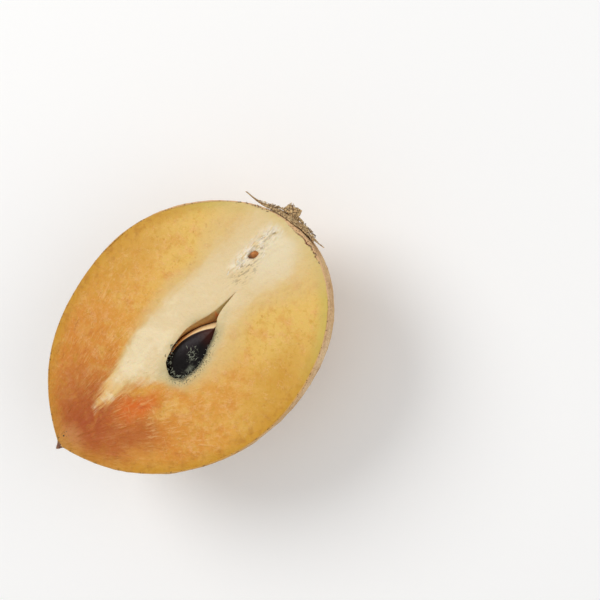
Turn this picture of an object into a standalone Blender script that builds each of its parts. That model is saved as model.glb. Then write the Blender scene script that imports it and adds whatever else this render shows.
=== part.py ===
"""Half of a sapodilla, cut lengthwise through stem and tip, lying on its rounded back with the cut face up.

Metres, +Z up. The origin is the middle of the small flat spot that the half rests on. +X points along the
cut face to the stem, and +Y to the side of the core that has no seed.
"""

import math

import bmesh
import bpy
import numpy as np

MM = 0.001

# How far the cut face's rim is from the face's middle, at nine equal turns from the stem, round by +Y
RIM_REACH_MM = (33.1, 27.3, 24.9, 26.5, 32.9, 32.9, 28.8, 28.5, 32.3)
TIP_RISE = 4.6 * MM  # how far the tip end stands out of that smooth curve
TIP_SPREAD = 0.29  # in radians, as seen from the face's middle
TIP_ROUNDING = 0.015
FLAT_SPOT_RISE = 0.55 * MM  # how much of the rounded back the resting spot takes off
BODY_STEPS_ALONG = 44
BODY_STEPS_ROUND = 32

GAP = 0.3 * MM  # kept between pieces that touch

# The seed: a flattened teardrop, widest near its blunt end, a little below the cut face
SEED_POINT = (7.3 * MM, -4.1 * MM)
SEED_BLUNT_END = (-9.9 * MM, -5.9 * MM)
SEED_WIDTH = 9.0 * MM
SEED_THICKNESS = 5.6 * MM
SEED_BELOW_FACE = 0.35 * MM
SEED_TAPER = 0.75
SEED_EDGE_POWER = 2.8
SEED_STEPS = (7, 34)

# The opening over the seed, as its outline in the cut face, with the slit that runs on towards the stem
OPENING_OUTLINE_MM = (
    (-8.3, -5.2), (-7.4, -3.1), (-5.0, -1.4), (-2.5, -0.8), (0.5, -0.4), (3.5, -0.8),
    (6.5, -1.5), (9.5, -1.8), (14.2, -2.0), (10.6, -2.5), (8.2, -3.1), (6.7, -4.1),
    (4.0, -5.9), (0.5, -7.6), (-3.5, -8.4), (-6.8, -7.5),
)  # fmt: skip
OPENING_STEPS_PER_POINT = 3
OPENING_DEPTH = 4.4 * MM
OPENING_FLOOR_SHARE = 0.42

# The undeveloped seed in the core
SMALL_SEED_CENTRE = (22.5 * MM, 1.3 * MM)
SMALL_SEED_SIZE = (2.4 * MM, 1.3 * MM, 1.3 * MM)
SMALL_SEED_HEADING = math.radians(-14.0)

# The calyx: a woody disc with six pointed sepals, its middle a little below the cut
CALYX_AZIMUTH = math.radians(5.0)
CALYX_DROP = math.radians(4.6)
SEPAL_COUNT = 6
SEPAL_NOTCH = 4.6 * MM
SEPAL_THICKNESS = 0.7 * MM
DISC_THICKNESS = 0.9 * MM
# Each sepal's reach from the calyx's middle, and its tip's lift off the skin, from +Y round by the underside
SEPALS_MM = ((11.2, 2.3), (9.6, 1.0), (10.4, 0.7), (10.2, 1.4), (9.0, 1.0), (9.4, 1.5))
CALYX_STEPS = (8, 72)

# The broken stub of the stalk, and the dried style at the tip end
STUB_BASE_RADIUS = 1.8 * MM
STUB_TOP_RADIUS = 1.3 * MM
STUB_HEIGHT = 1.7 * MM
STUB_LEAN = 0.2 * MM
STYLE_RADIUS = 0.9 * MM
STYLE_HEIGHT = 1.6 * MM
STYLE_DROP = math.radians(1.0)

CUTTER_REACH = 60 * MM


def unit(vector):
    return vector / np.linalg.norm(vector, axis=-1, keepdims=True)


def rim_reach(turn):
    """Distance from the face's middle to its rim: a smooth closed curve, with a cusp at the tip end."""
    waves = np.fft.rfft(RIM_REACH_MM) / len(RIM_REACH_MM)
    waves[1:] *= 2.0
    smooth = np.real(np.exp(1j * np.multiply.outer(turn, np.arange(len(waves)))) @ waves) * MM
    from_tip = math.pi - np.abs(turn)
    return smooth + TIP_RISE * np.exp(-np.hypot(from_tip, TIP_ROUNDING) / TIP_SPREAD)


def surface_reach(direction):
    """How far the uncut fruit's surface lies from the face's middle along unit directions.

    Its two rims, on the +Y and the -Y side, blend into each other round the stem-to-tip line by the cosine.
    """
    from_stem = np.arccos(np.clip(direction[..., 0], -1.0, 1.0))
    sideways = direction[..., 1] / np.maximum(np.hypot(direction[..., 1], direction[..., 2]), 1e-9)
    far, near = rim_reach(from_stem), rim_reach(-from_stem)
    return (far + near) / 2 + sideways * (far - near) / 2


def directions(from_stem, turn):
    """Unit directions at an angle from the stem's, turned round that line from +Y."""
    from_stem, turn = np.broadcast_arrays(from_stem, turn)
    return np.stack([
        np.cos(from_stem),
        np.sin(from_stem) * np.cos(turn),
        np.sin(from_stem) * np.sin(turn),
    ], axis=-1)  # fmt: skip


def face_middle():
    """Where the cut face's middle has to be for the back's lowest point to meet the origin."""
    around_below = directions(np.linspace(1.2, 1.9, 141)[:, None], np.linspace(-2.0, -1.1, 181))
    surface = around_below * surface_reach(around_below)[..., None]
    lowest = surface.reshape(-1, 3)[surface[..., 2].argmin()]
    return -lowest - np.array([0.0, 0.0, FLAT_SPOT_RISE])


MIDDLE = face_middle()


def on_surface(direction, lift=0.0):
    """Points on the fruit's surface along directions from the face's middle, raised by lift."""
    return MIDDLE + direction * (surface_reach(direction) + lift)[..., None]


def material(name, colour, roughness):
    made = bpy.data.materials.new(name)
    made.use_nodes = True
    shader = made.node_tree.nodes["Principled BSDF"]
    shader.inputs["Base Color"].default_value = (*colour, 1.0)
    shader.inputs["Roughness"].default_value = roughness
    shader.inputs["Metallic"].default_value = 0.0
    return made


def grid_faces(rows, columns, closed=False):
    """Quads of a grid of rows x columns points; closed joins the last column to the first."""
    last = columns if closed else columns - 1
    return [
        (
            r * columns + c,
            r * columns + (c + 1) % columns,
            (r + 1) * columns + (c + 1) % columns,
            (r + 1) * columns + c,
        )
        for r in range(rows - 1)
        for c in range(last)
    ]


def end_caps(rows, columns):
    """One face over the first ring of a closed grid, and one over its last."""
    return [tuple(range(columns)), tuple(range((rows - 1) * columns, rows * columns))]


def solid(name, points, faces, *finishes, inner_faces=()):
    """One object from points and faces, welded, facing out; inner_faces take its second finish."""
    mesh = bpy.data.meshes.new(name)
    mesh.from_pydata([tuple(p) for p in np.reshape(points, (-1, 3))], [], faces)
    for finish in finishes:
        mesh.materials.append(finish)
    for index in inner_faces:
        mesh.polygons[index].material_index = 1
    work = bmesh.new()
    work.from_mesh(mesh)
    bmesh.ops.remove_doubles(work, verts=work.verts, dist=1e-6)
    bmesh.ops.recalc_face_normals(work, faces=work.faces)
    work.to_mesh(mesh)
    work.free()
    mesh.shade_smooth()
    mesh.set_sharp_from_angle(angle=math.radians(40.0))
    made = bpy.data.objects.new(name, mesh)
    bpy.context.scene.collection.objects.link(made)
    return made


def cutter(name, points, faces):
    """A shape to cut with, which leaves flesh where it cut."""
    made = solid(name, points, faces, SKIN, FLESH, inner_faces=range(len(faces)))
    made.hide_render = True
    made.display_type = "WIRE"
    return made


def slab(name, low, high):
    """A box cutter as wide as everything, between two heights."""
    sides = (-CUTTER_REACH, CUTTER_REACH)
    corners = [(x, y, z) for x in sides for y in sides for z in (low, high)]
    faces = [(0, 1, 3, 2), (4, 6, 7, 5), (0, 4, 5, 1), (2, 3, 7, 6), (0, 2, 6, 4), (1, 5, 7, 3)]
    return cutter(name, corners, faces)


def cut(target, *tools):
    for tool in tools:
        step = target.modifiers.new(tool.name, "BOOLEAN")
        step.operation = "DIFFERENCE"
        step.solver = "EXACT"
        step.object = tool


def fruit_half():
    """The rounded back, as a grid from stem to tip, closed by the flat cut face."""
    from_stem = np.linspace(0, math.pi, BODY_STEPS_ALONG + 1)[:, None]
    points = on_surface(directions(from_stem, np.linspace(0, -math.pi, BODY_STEPS_ROUND + 1)))
    points[:, (0, -1), 2] = MIDDLE[2]
    columns = BODY_STEPS_ROUND + 1
    back = grid_faces(BODY_STEPS_ALONG + 1, columns)
    far_rim = [r * columns for r in range(BODY_STEPS_ALONG + 1)]
    near_rim = [r * columns + columns - 1 for r in range(BODY_STEPS_ALONG - 1, 0, -1)]
    faces = back + [tuple(far_rim + near_rim)]
    return solid("fruit_half", points, faces, SKIN, FLESH, inner_faces=[len(back)])


def seed_form(grow):
    """The seed's surface, grown by grow on all sides.

    Its outline is an ellipse whose width falls off towards the point by a power of the half-angle's sine,
    and its two flat sides are that outline shrunk in steps, domed by one minus a power of the shrinkage.
    """
    levels, around = SEED_STEPS
    turn = np.linspace(0, 2 * math.pi, around, endpoint=False)
    width = np.sin(turn) * np.sin(turn / 2) ** SEED_TAPER
    point, blunt = np.array(SEED_POINT), np.array(SEED_BLUNT_END)
    heading = unit(point - blunt)
    outline = np.stack([
        np.cos(turn) * (np.linalg.norm(point - blunt) / 2 + grow),
        width / np.abs(width).max() * (SEED_WIDTH / 2 + grow),
    ], axis=-1)  # fmt: skip
    share = np.sin(np.linspace(0, math.pi, 2 * levels + 1))
    share[[0, -1]] = 0.0
    side = np.sign(np.linspace(1, -1, 2 * levels + 1))
    dome = side * (SEED_THICKNESS / 2 + grow) * (1 - share**SEED_EDGE_POWER) ** (1 / 2)
    flat = outline[None, :, :] * share[:, None, None]
    middle = (point + blunt) / 2
    x = MIDDLE[0] + middle[0] + flat[..., 0] * heading[0] - flat[..., 1] * heading[1]
    y = MIDDLE[1] + middle[1] + flat[..., 0] * heading[1] + flat[..., 1] * heading[0]
    z = MIDDLE[2] - SEED_BELOW_FACE - SEED_THICKNESS / 2 + dome[:, None]
    return np.stack([x, y, np.broadcast_to(z, x.shape)], axis=-1), grid_faces(len(share), around, closed=True)


def small_seed_form(grow, rings=9, around=16):
    """The undeveloped seed: an ellipsoid whose middle lies just below the cut face."""
    fall = np.linspace(0, math.pi, rings)[:, None]
    turn = np.linspace(0, 2 * math.pi, around, endpoint=False)
    long, wide, high = (size / 2 + grow for size in SMALL_SEED_SIZE)
    along = np.cos(fall) * long * np.ones(around)
    across = np.sin(fall) * np.cos(turn) * wide
    cos, sin = math.cos(SMALL_SEED_HEADING), math.sin(SMALL_SEED_HEADING)
    x = MIDDLE[0] + SMALL_SEED_CENTRE[0] + along * cos - across * sin
    y = MIDDLE[1] + SMALL_SEED_CENTRE[1] + along * sin + across * cos
    z = MIDDLE[2] - SMALL_SEED_SIZE[2] / 6 + np.sin(fall) * np.sin(turn) * high
    return np.stack([x, y, z], axis=-1), grid_faces(rings, around, closed=True)


def smooth_loop(corners, steps):
    """A closed curve through corners, as a Catmull-Rom spline with that many steps from each to the next."""
    before, after, beyond = (np.roll(corners, shift, axis=0) for shift in (1, -1, -2))
    t = np.arange(steps)[None, :, None] / steps
    here, before, after, beyond = (p[:, None, :] for p in (corners, before, after, beyond))
    slope_in, slope_out = (after - before) / 2, (beyond - here) / 2
    curve = (
        here
        + slope_in * t
        + (3 * (after - here) - 2 * slope_in - slope_out) * t**2
        + (2 * (here - after) + slope_in + slope_out) * t**3
    )
    return curve.reshape(-1, 2)


def opening_cutter():
    """A wedge with the opening's outline at the cut face, narrowing to its floor."""
    outline = smooth_loop(np.array(OPENING_OUTLINE_MM) * MM, OPENING_STEPS_PER_POINT)
    middle = outline.mean(axis=0)
    levels = ((1.0, 1.0 * MM), (1.0, 0.0), (OPENING_FLOOR_SHARE, -OPENING_DEPTH))
    points = [
        (*(MIDDLE[:2] + middle + (corner - middle) * share), MIDDLE[2] + height)
        for share, height in levels
        for corner in outline
    ]
    rings, corners = len(levels), len(outline)
    return cutter("opening", points, grid_faces(rings, corners, closed=True) + end_caps(rings, corners))


def frame_at(azimuth, drop):
    """A direction from the face's middle, and the two directions square to it: across, and down."""
    axis = np.array([math.cos(drop) * math.cos(azimuth), math.cos(drop) * math.sin(azimuth), -math.sin(drop)])
    across = unit(np.array([-axis[1], axis[0], 0.0]))
    return axis, across, np.cross(across, axis)


def calyx():
    """A disc whose edge runs out into pointed sepals, which thin and lift off the skin towards their tips."""
    rows, columns = CALYX_STEPS
    turn = np.linspace(0, 2 * math.pi, columns, endpoint=False)
    place = turn / (2 * math.pi) * SEPAL_COUNT
    sepal = np.rint(place).astype(int) % SEPAL_COUNT
    tip, lift = (np.array(SEPALS_MM) * MM)[sepal].T
    point = 1 - np.abs(np.sin(math.pi * place))
    edge = SEPAL_NOTCH + (tip - SEPAL_NOTCH) * point
    radius = np.linspace(0, 1, rows)[:, None] * edge
    outward = np.clip((radius - SEPAL_NOTCH) / (tip - SEPAL_NOTCH), 0, 1)
    thickness = DISC_THICKNESS + (SEPAL_THICKNESS - DISC_THICKNESS) * np.clip(radius / SEPAL_NOTCH, 0, 1)
    axis, across, down = frame_at(CALYX_AZIMUTH, CALYX_DROP)
    ring = np.cos(turn)[:, None] * across + np.sin(turn)[:, None] * down
    direction = unit(axis * surface_reach(axis) + radius[..., None] * ring)
    under = on_surface(direction, GAP + lift * outward**1.6)
    over = on_surface(direction, GAP + lift * outward**1.6 + thickness)
    points = np.concatenate([over, under[::-1]])
    return solid("calyx", points, grid_faces(2 * rows, columns, closed=True), CALYX)


def spike(name, place, radii, foot, height, lean, finish, around=20, rows=5):
    """A short tapering stub: its foot follows the skin at its height, and its top leans across."""
    axis, across, down = frame_at(*place)
    turn = np.linspace(0, 2 * math.pi, around, endpoint=False)
    ring = np.cos(turn)[:, None] * across + np.sin(turn)[:, None] * down
    share = np.linspace(0, 1, rows)[:, None, None]
    reach = surface_reach(axis)
    radius = radii[0] + (radii[1] - radii[0]) * share**0.6
    points = MIDDLE + axis * (reach + foot + height * share) + across * lean * share + radius * ring
    points[0] = on_surface(unit(axis * reach + ring * radii[0]), foot)
    return solid(name, points, grid_faces(rows, around, closed=True) + end_caps(rows, around), finish)


for old in list(bpy.data.objects):
    bpy.data.objects.remove(old)

SKIN = material("scurfy_skin", (0.50, 0.33, 0.17), 0.85)
FLESH = material("flesh", (0.70, 0.42, 0.13), 0.45)
SEED_COAT = material("seed_coat", (0.020, 0.014, 0.016), 0.2)
BROWN_SEED = material("brown_seed", (0.32, 0.12, 0.03), 0.5)
CALYX = material("dry_calyx", (0.24, 0.16, 0.10), 0.85)
STALK = material("dry_stalk", (0.20, 0.15, 0.10), 0.9)
STYLE = material("dry_style", (0.12, 0.06, 0.04), 0.8)

knife = slab("knife", MIDDLE[2], MIDDLE[2] + CUTTER_REACH)
table = slab("table", -CUTTER_REACH, 0.0)

body = fruit_half()
cut(
    body,
    table,
    cutter("seed_hollow", *seed_form(GAP)),
    opening_cutter(),
    cutter("small_seed_hollow", *small_seed_form(GAP)),
)
solid("seed", *seed_form(0.0), SEED_COAT)
solid("undeveloped_seed", *small_seed_form(0.0), BROWN_SEED)
cut(calyx(), knife)
spike(
    "stalk_stub",
    (CALYX_AZIMUTH, CALYX_DROP),
    (STUB_BASE_RADIUS, STUB_TOP_RADIUS),
    GAP + DISC_THICKNESS + GAP,
    STUB_HEIGHT,
    STUB_LEAN,
    STALK,
)
style = spike(
    "style_tip",
    (math.pi, STYLE_DROP),
    (STYLE_RADIUS, STYLE_RADIUS / 3),
    GAP,
    STYLE_HEIGHT,
    0.0,
    STYLE,
    around=14,
)
cut(style, knife)
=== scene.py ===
"""The looks of a half sapodilla, cut lengthwise and lying on its rounded back.

Shapes are worked out in millimetres from the middle of the cut face, with x to the stem, y to the side of
the core that has no seed and z out of the face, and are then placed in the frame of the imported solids.
"""

import itertools
import math

import bmesh
import bpy
import numpy as np
from bpy.props import FloatProperty, FloatVectorProperty, IntProperty, PointerProperty
from mathutils import Matrix, Vector


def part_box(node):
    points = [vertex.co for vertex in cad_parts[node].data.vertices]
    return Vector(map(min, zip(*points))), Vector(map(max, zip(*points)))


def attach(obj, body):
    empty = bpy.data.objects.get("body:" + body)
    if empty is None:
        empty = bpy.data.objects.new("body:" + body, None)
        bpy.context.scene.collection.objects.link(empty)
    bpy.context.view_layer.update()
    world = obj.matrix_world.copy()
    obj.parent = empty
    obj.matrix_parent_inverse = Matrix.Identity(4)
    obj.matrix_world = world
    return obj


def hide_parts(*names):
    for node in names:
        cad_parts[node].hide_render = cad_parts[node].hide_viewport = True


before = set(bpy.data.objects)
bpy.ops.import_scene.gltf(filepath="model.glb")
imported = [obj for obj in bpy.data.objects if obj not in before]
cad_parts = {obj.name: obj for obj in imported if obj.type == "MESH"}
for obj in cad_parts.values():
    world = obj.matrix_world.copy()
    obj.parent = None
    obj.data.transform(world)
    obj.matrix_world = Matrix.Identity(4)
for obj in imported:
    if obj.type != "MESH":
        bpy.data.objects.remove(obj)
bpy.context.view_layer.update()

bl_info = {
    "name": "Half Sapodilla",
    "version": (1, 0, 0),
    "blender": (4, 5, 0),
    "location": "View3D > Sidebar > Sapodilla",
    "description": "Dresses a cut sapodilla half with flesh, skin, seed, pulp fibres and calyx",
    "category": "Object",
}

MM = 0.001

# The form of the fruit in millimetres, as in its solids. The first row is the distance from the face's
# middle to its rim at nine even turns from the stem. A sepal has its reach and its lift at the tip.
RIM_REACH = (33.1, 27.3, 24.9, 26.5, 32.9, 32.9, 28.8, 28.5, 32.3)
TIP_RISE = 4.6
TIP_SPREAD = 0.29
TIP_ROUNDING = 0.015
SEED_POINT = (7.3, -4.1)
SEED_BLUNT_END = (-9.9, -5.9)
SEED_WIDTH = 9.0
SEED_THICKNESS = 5.6
SEED_BELOW_FACE = 0.35
SEED_TAPER = 0.75
SEED_EDGE_POWER = 2.8
HOLLOW_GAP = 0.3
OPENING_OUTLINE = (
    (-8.3, -5.2), (-7.4, -3.1), (-5.0, -1.4), (-2.5, -0.8), (0.5, -0.4), (3.5, -0.8), (6.5, -1.5),
    (9.5, -1.8), (14.2, -2.0), (10.6, -2.5), (8.2, -3.1), (6.7, -4.1), (4.0, -5.9), (0.5, -7.6),
    (-3.5, -8.4), (-6.8, -7.5),
)
SMALL_SEED_CENTRE = (22.5, 1.3)
SMALL_SEED_SIZE = (2.4, 1.3, 1.3)
SMALL_SEED_HEADING = math.radians(-14.0)
CALYX_AZIMUTH = math.radians(5.0)
CALYX_DROP = math.radians(4.6)
CALYX_GAP = 0.3
SEPAL_COUNT = 6
SEPAL_NOTCH = 4.6
SEPAL_THICKNESS = 0.7
DISC_THICKNESS = 0.9
SEPALS = ((11.2, 2.3), (9.6, 1.0), (10.4, 0.7), (10.2, 1.4), (9.0, 1.0), (9.4, 1.5))
STUB_RADII = (1.8, 1.3)
STUB_HEIGHT = 1.7
STUB_LEAN = 0.2
STYLE_RADIUS = 0.9
STYLE_HEIGHT = 1.6
STYLE_DROP = math.radians(1.0)

# Finer form that the solids leave out, in millimetres. The seed's opening is torn on the side away from
# its clean side. The skin's sides start a small angle below the face. The sepals narrow by a power of the
# share of their width, and the long thin one by a higher power.
CLEAN_SIDE = (0.55, 0.83)
SKIN_OVERLAP = 0.04
FLESH_ABOVE_FLOOR = 0.25
SKIN_INSIDE_ABOVE_FLOOR = 0.3
SKIN_START = 0.012
SEPAL_POWER = 1.1
FILAMENT_POWER = 8.0
SEPAL_THINNING = 0.65
STREAK_SOURCE = (-40.0, 0.5)
STREAKS_ROUND = 26
STREAKS_ALONG = 0.22
STREAK_HEIGHT = 0.05
CORE_GRAIN = 0.02
CORE_SINK = 0.08
TISSUE_HEIGHT = 0.34
SMALL_HOLLOW_DEPTH = 0.3
OPENING_EDGE_DROP, OPENING_EDGE_WIDTH = 0.18, 0.3
RIM_DROP, RIM_WIDTH = 0.04, 0.4
SKIN_WEAR = 0.06
SKIN_EDGE_BULGE, SKIN_EDGE_DROP = 0.05, 0.07
STRAND_END = 31.0
NOISE_CONTRAST = 1.6

# A distance that no mask reaches, and how far the knife that levels a piece reaches
FAR = 20.0
KNIFE_REACH = 60.0
KNIFE_HEIGHT = 30.0
MERGE_METRES = 2e-7
PULP_DRAWS, CORE_DRAWS, CALYX_DRAWS = 7, 17, 27

# The pale core in the cut face: x with its upper and its lower edge, and how soft each edge is
CORE_EDGES = (
    (-26.8, 0.9, 0.3, 0.9, 0.9), (-24.0, 2.1, -0.6, 0.8, 1.0), (-21.0, 3.1, -0.9, 0.7, 1.2),
    (-17.0, 4.3, -1.2, 0.7, 1.6), (-14.0, 5.3, -2.6, 0.6, 2.2), (-11.0, 6.1, -5.2, 0.7, 1.2),
    (-8.0, 6.9, -8.4, 0.9, 1.4), (0.0, 7.1, -9.0, 1.3, 1.9), (4.0, 7.6, -7.9, 1.5, 2.6),
    (8.0, 7.3, -6.6, 1.2, 2.4), (12.0, 7.1, -5.8, 1.2, 1.6), (16.0, 8.0, -5.9, 2.2, 1.3),
    (20.0, 8.2, -6.6, 2.8, 1.9), (24.0, 8.5, -7.2, 3.2, 2.6), (30.0, 8.6, -8.0, 3.6, 3.2),
)

# How finely the surfaces and outlines are divided
OUTLINE_SAMPLES = 720
RIM_SAMPLES = 1441
STEPS_PER_CORNER = 35
STEPS_PER_SAMPLE = 5
FLESH_FACE_RINGS = 118
FLESH_WALL_RINGS = 22
FLESH_BOWL_RINGS = 10
FLESH_UNDER_RINGS = 14
SKIN_COLUMNS = 640
SKIN_OUTER_RINGS = 118
SKIN_EDGE_RINGS = 6
SKIN_INNER_RINGS = 16
SEED_COLUMNS = 220
SEED_LEVELS = 44
STRAND_SIDES = 5

# Colours laid over the flesh in this order. A patch has its colour, centre, reach, turn and share.
FIRST_PATCHES = (
    ("orange", (-2.0, 17.0), (16.0, 7.0), 8.0, 0.35),
    ("orange", (-1.0, -16.0), (15.0, 8.0), -4.0, 0.5),
)
# Blotches have their colour, size, where their mask starts and ends, their share, and whether they fade at
# the stem.
FLESH_BLOTCHES = (
    ("yellow", 4.2, 0.46, 0.66, 0.45, False),
    ("orange", 3.4, 0.5, 0.66, 0.6, True),
    ("peach", 2.2, 0.52, 0.68, 0.35, False),
    ("ochre", 2.7, 0.55, 0.7, 0.55, True),
    ("ochre", 1.2, 0.54, 0.66, 0.4, False),
    ("streak", 0.7, 0.5, 0.7, 0.3, False),
)
SIDE_PATCHES = (
    ("orange", (-21.0, -13.0), (12.0, 7.0), -22.0, 0.6),
    ("ochre", (8.0, -23.0), (20.0, 8.0), 14.0, 0.75),
    ("ochre", (0.0, 21.0), (22.0, 7.0), -4.0, 0.55),
    ("red", (-23.0, -11.0), (10.0, 7.5), -30.0, 0.6),
    ("orange", (-19.0, 13.5), (9.0, 7.0), 40.0, 0.6),
)
TIP_PATCHES = (
    ("flame", (-19.0, -5.4), (9.0, 3.8), -18.0, 0.85),
    ("gold", (-16.0, -3.0), (5.5, 1.7), -28.0, 0.6),
    ("gold", (-24.0, -15.0), (9.0, 5.0), -38.0, 0.5),
    ("tan", (-37.0, -0.5), (5.5, 6.5), 0.0, 0.8),
)
SKIN_BLOTCHES = (
    ("pale", 9.0, 0.45, 0.62, 1.0),
    ("brown", 6.0, 0.5, 0.66, 0.7),
    ("gold", 3.4, 0.5, 0.68, 0.5),
    ("pale", 1.3, 0.48, 0.62, 0.5),
    ("brown", 0.8, 0.52, 0.64, 0.45),
)
SPOT_DRIFT = (7.0, 7.0, 0.0)
WITHOUT_LIMIT = 1e6
WRINKLE_SHADE = 0.3

# The camera, from the face's middle: its place, the point on the face that it looks at, and its image's up
CAMERA_PLACE = (115.82, -90.42, 319.95)
CAMERA_AIM = (24.21, -12.55, 0.0)
CAMERA_UP = (0.6515, 0.7586, -0.0019)
CAMERA_LENS = 100.0
SENSOR_WIDTH = 36.0
CLIP_RANGE = (0.01, 20.0)

# The stage: each light's name, place in metres, size, power and tint, then the world and the floor
LIGHTS = (
    ("key", (-0.1, 0.6, 0.65), 0.6, 3.6, (1.0, 0.985, 0.96)),
    ("fill", (0.6, -0.5, 0.5), 0.9, 2.6, (1.0, 1.0, 1.0)),
)
WORLD_COLOUR = (1.0, 1.0, 1.0, 1.0)
WORLD_STRENGTH = 0.54
FLOOR_REACH = 4.0
FLOOR_COLOUR = (0.97, 0.97, 0.97, 1.0)
FLOOR_ROUGHNESS = 0.9
FLOOR_SPECULAR = 0.1


def srgb(red, green, blue):
    """A display colour from 0 to 255 as the linear values that shaders take."""
    display = np.array([red, green, blue]) / 255
    linear = np.where(display <= 0.04045, display / 12.92, ((display + 0.055) / 1.055) ** 2.4)
    return tuple(float(v) for v in linear)


def colour(name, description, *display):
    """A property for a colour, whose default is given as a display colour."""
    return FloatVectorProperty(
        name=name, description=description, subtype="COLOR", size=3, min=0.0, max=1.0, default=srgb(*display)
    )


def length(name, description, millimetres):
    """A property for a length, whose default is given in millimetres."""
    return FloatProperty(
        name=name, description=description, unit="LENGTH", min=0.0, precision=5, default=millimetres * MM
    )


def count(name, description, default):
    """A property for a number of things."""
    return IntProperty(name=name, description=description, min=0, default=default)


class SapodillaFleshLooks(bpy.types.PropertyGroup):
    gold: colour("Gold", "Flesh midway between the tip and the stem", 228, 168, 68)
    yellow: colour("Yellow", "Flesh towards the stem", 232, 191, 100)
    orange: colour("Orange", "Flesh towards the tip", 213, 134, 44)
    red: colour("Red", "The ripest flesh, round the end of the core at the tip", 172, 80, 28)
    flame: colour("Flame", "The bright patch between the tip and the seed", 218, 102, 14)
    peach: colour("Peach", "Pinkish blotches in the flesh", 238, 178, 118)
    ochre: colour("Ochre", "The band of flesh just inside the skin", 206, 150, 40)
    umber: colour("Umber", "Brown blotches near the skin", 186, 122, 34)
    green: colour("Green", "The same band near the stem", 208, 184, 92)
    pale_green: colour("Pale green", "The lightest flesh round the core near the stem", 236, 221, 186)
    cream: colour("Cream", "The pale core", 233, 210, 165)
    cream_warm: colour("Warm cream", "The core near the stem and at its fringes", 224, 194, 134)
    bright: colour("Bright cream", "The lightest parts of the core", 243, 224, 184)
    apricot: colour("Apricot", "The end of the core at the tip", 238, 188, 108)
    halo: colour("Halo", "The grey-green flesh beside the seed", 196, 180, 132)
    tan: colour("Tan", "The patch round the tip", 206, 144, 84)
    olive: colour("Olive", "The wall of the slit", 206, 184, 126)
    white: colour("White", "The fibrous white tissue in the core near the stem", 247, 238, 221)
    grey: colour("Grey", "The grey-brown lines in that tissue", 158, 138, 104)
    streak: colour("Streak", "The light fibres that curl through the flesh", 246, 196, 126)
    lining: colour("Lining", "The brown wall of the seed's hollow", 194, 148, 84)
    # Besides its blotches, this colour paints shade, darkening the hollow's wall towards its foot.
    stain_and_foot_shade: colour("Stain", "The darker foot of that wall", 146, 88, 38)
    # Beside the seed this colour is painted shade: a dark band and dark specks along the torn edge of the
    # hollow, for the shadows in its gaps.
    speck: colour("Speck", "The dark specks round the seed", 58, 60, 44)
    rust: colour("Rust", "The torn line under the calyx", 112, 52, 34)
    relief: length("Relief", "Height of the gentle unevenness of the cut", 0.12)
    grain: length("Grain", "Height of the fine grain of the cut", 0.035)
    ragged: length("Ragged edge", "How far the torn edge of the seed's hollow wanders", 0.22)
    lap: length("Lap", "How far the flesh laps over the seed on the torn side", 0.4)


class SapodillaSkinLooks(bpy.types.PropertyGroup):
    tan: colour("Tan", "The skin's main colour", 204, 166, 118)
    pale: colour("Pale", "The paler worn patches", 226, 196, 154)
    brown: colour("Brown", "The rougher brown patches", 172, 126, 78)
    gold: colour("Gold", "The yellowish patches", 206, 174, 108)
    scurf: colour("Scurf", "The dark scurf in the skin's hollows", 126, 88, 54)
    cut_ochre: colour("Cut edge", "The skin where it is cut, on the side of the tip", 210, 160, 84)
    cut_pink: colour("Cut edge at the stem", "The skin where it is cut, round the stem", 222, 180, 134)
    thickness: length("Thickness", "Thickness of the skin at the cut", 0.24)
    stem_thickness: length("Stem thickness", "How much thicker the skin is at the stem", 0.4)
    torn: length("Torn edge", "How far the edge between skin and flesh wanders at the stem", 0.2)
    lumps: length("Lumps", "Height of the skin's broad unevenness", 0.16)
    roughness: length("Scurf height", "Height of the scurf", 0.05)


class SapodillaSeedLooks(bpy.types.PropertyGroup):
    coat: colour("Coat", "The dark glossy coat", 20, 17, 17)
    # The plum spot is a painted purple sheen over the middle of the glossy coat.
    plum_sheen: colour("Plum", "The purple tint of the coat's middle", 36, 27, 30)
    maroon: colour("Maroon", "The coat's warmer end, at the point", 66, 26, 16)
    scar: colour("Scar", "The pale scar along the seed's edge", 244, 212, 160)
    scar_warm: colour("Scar, blunt end", "The scar's orange end", 226, 158, 88)
    brown: colour("Small seed", "The undeveloped seed", 196, 122, 56)
    scar_rise: length("Scar rise", "How far the scar stands out of the coat", 0.22)


class SapodillaFibreLooks(bpy.types.PropertyGroup):
    # This colour is also laid on the seed as a painted grey highlight.
    pale: colour("Pale fibre", "Pale strands of pulp", 160, 163, 142)
    dark: colour("Dark fibre", "Strands stained by the seed", 62, 64, 48)
    olive: colour("Olive fibre", "Stained strands in the core", 184, 162, 118)
    pulp_strands: count("Pulp strands", "How many strands lie round the seed", 170)
    core_strands: count("Core strands", "How many strands lie in the core near the stem", 64)
    calyx_strands: count("Calyx strands", "How many strands fray from the calyx and the stub", 420)
    rim_crumbs: count("Rim crumbs", "How many dark crumbs lie on the rim at the stem", 34)
    radius: length("Radius", "Radius of a strand", 0.055)


class SapodillaCalyxLooks(bpy.types.PropertyGroup):
    brown: colour("Brown", "Dry sepals", 206, 168, 120)
    dark: colour("Dark", "Cracks and tips", 88, 60, 44)
    straw: colour("Straw", "Frayed straw-coloured fibres", 232, 204, 152)
    style: colour("Style", "The dried style at the tip", 150, 104, 86)
    ridge: length("Ridge", "Height of the ridges along the sepals", 0.1)


class SapodillaLooks(bpy.types.PropertyGroup):
    flesh: PointerProperty(type=SapodillaFleshLooks)
    skin: PointerProperty(type=SapodillaSkinLooks)
    seed: PointerProperty(type=SapodillaSeedLooks)
    fibres: PointerProperty(type=SapodillaFibreLooks)
    calyx: PointerProperty(type=SapodillaCalyxLooks)


def unit(vectors):
    """Vectors divided by their own lengths."""
    return vectors / np.linalg.norm(vectors, axis=-1, keepdims=True)


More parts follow.
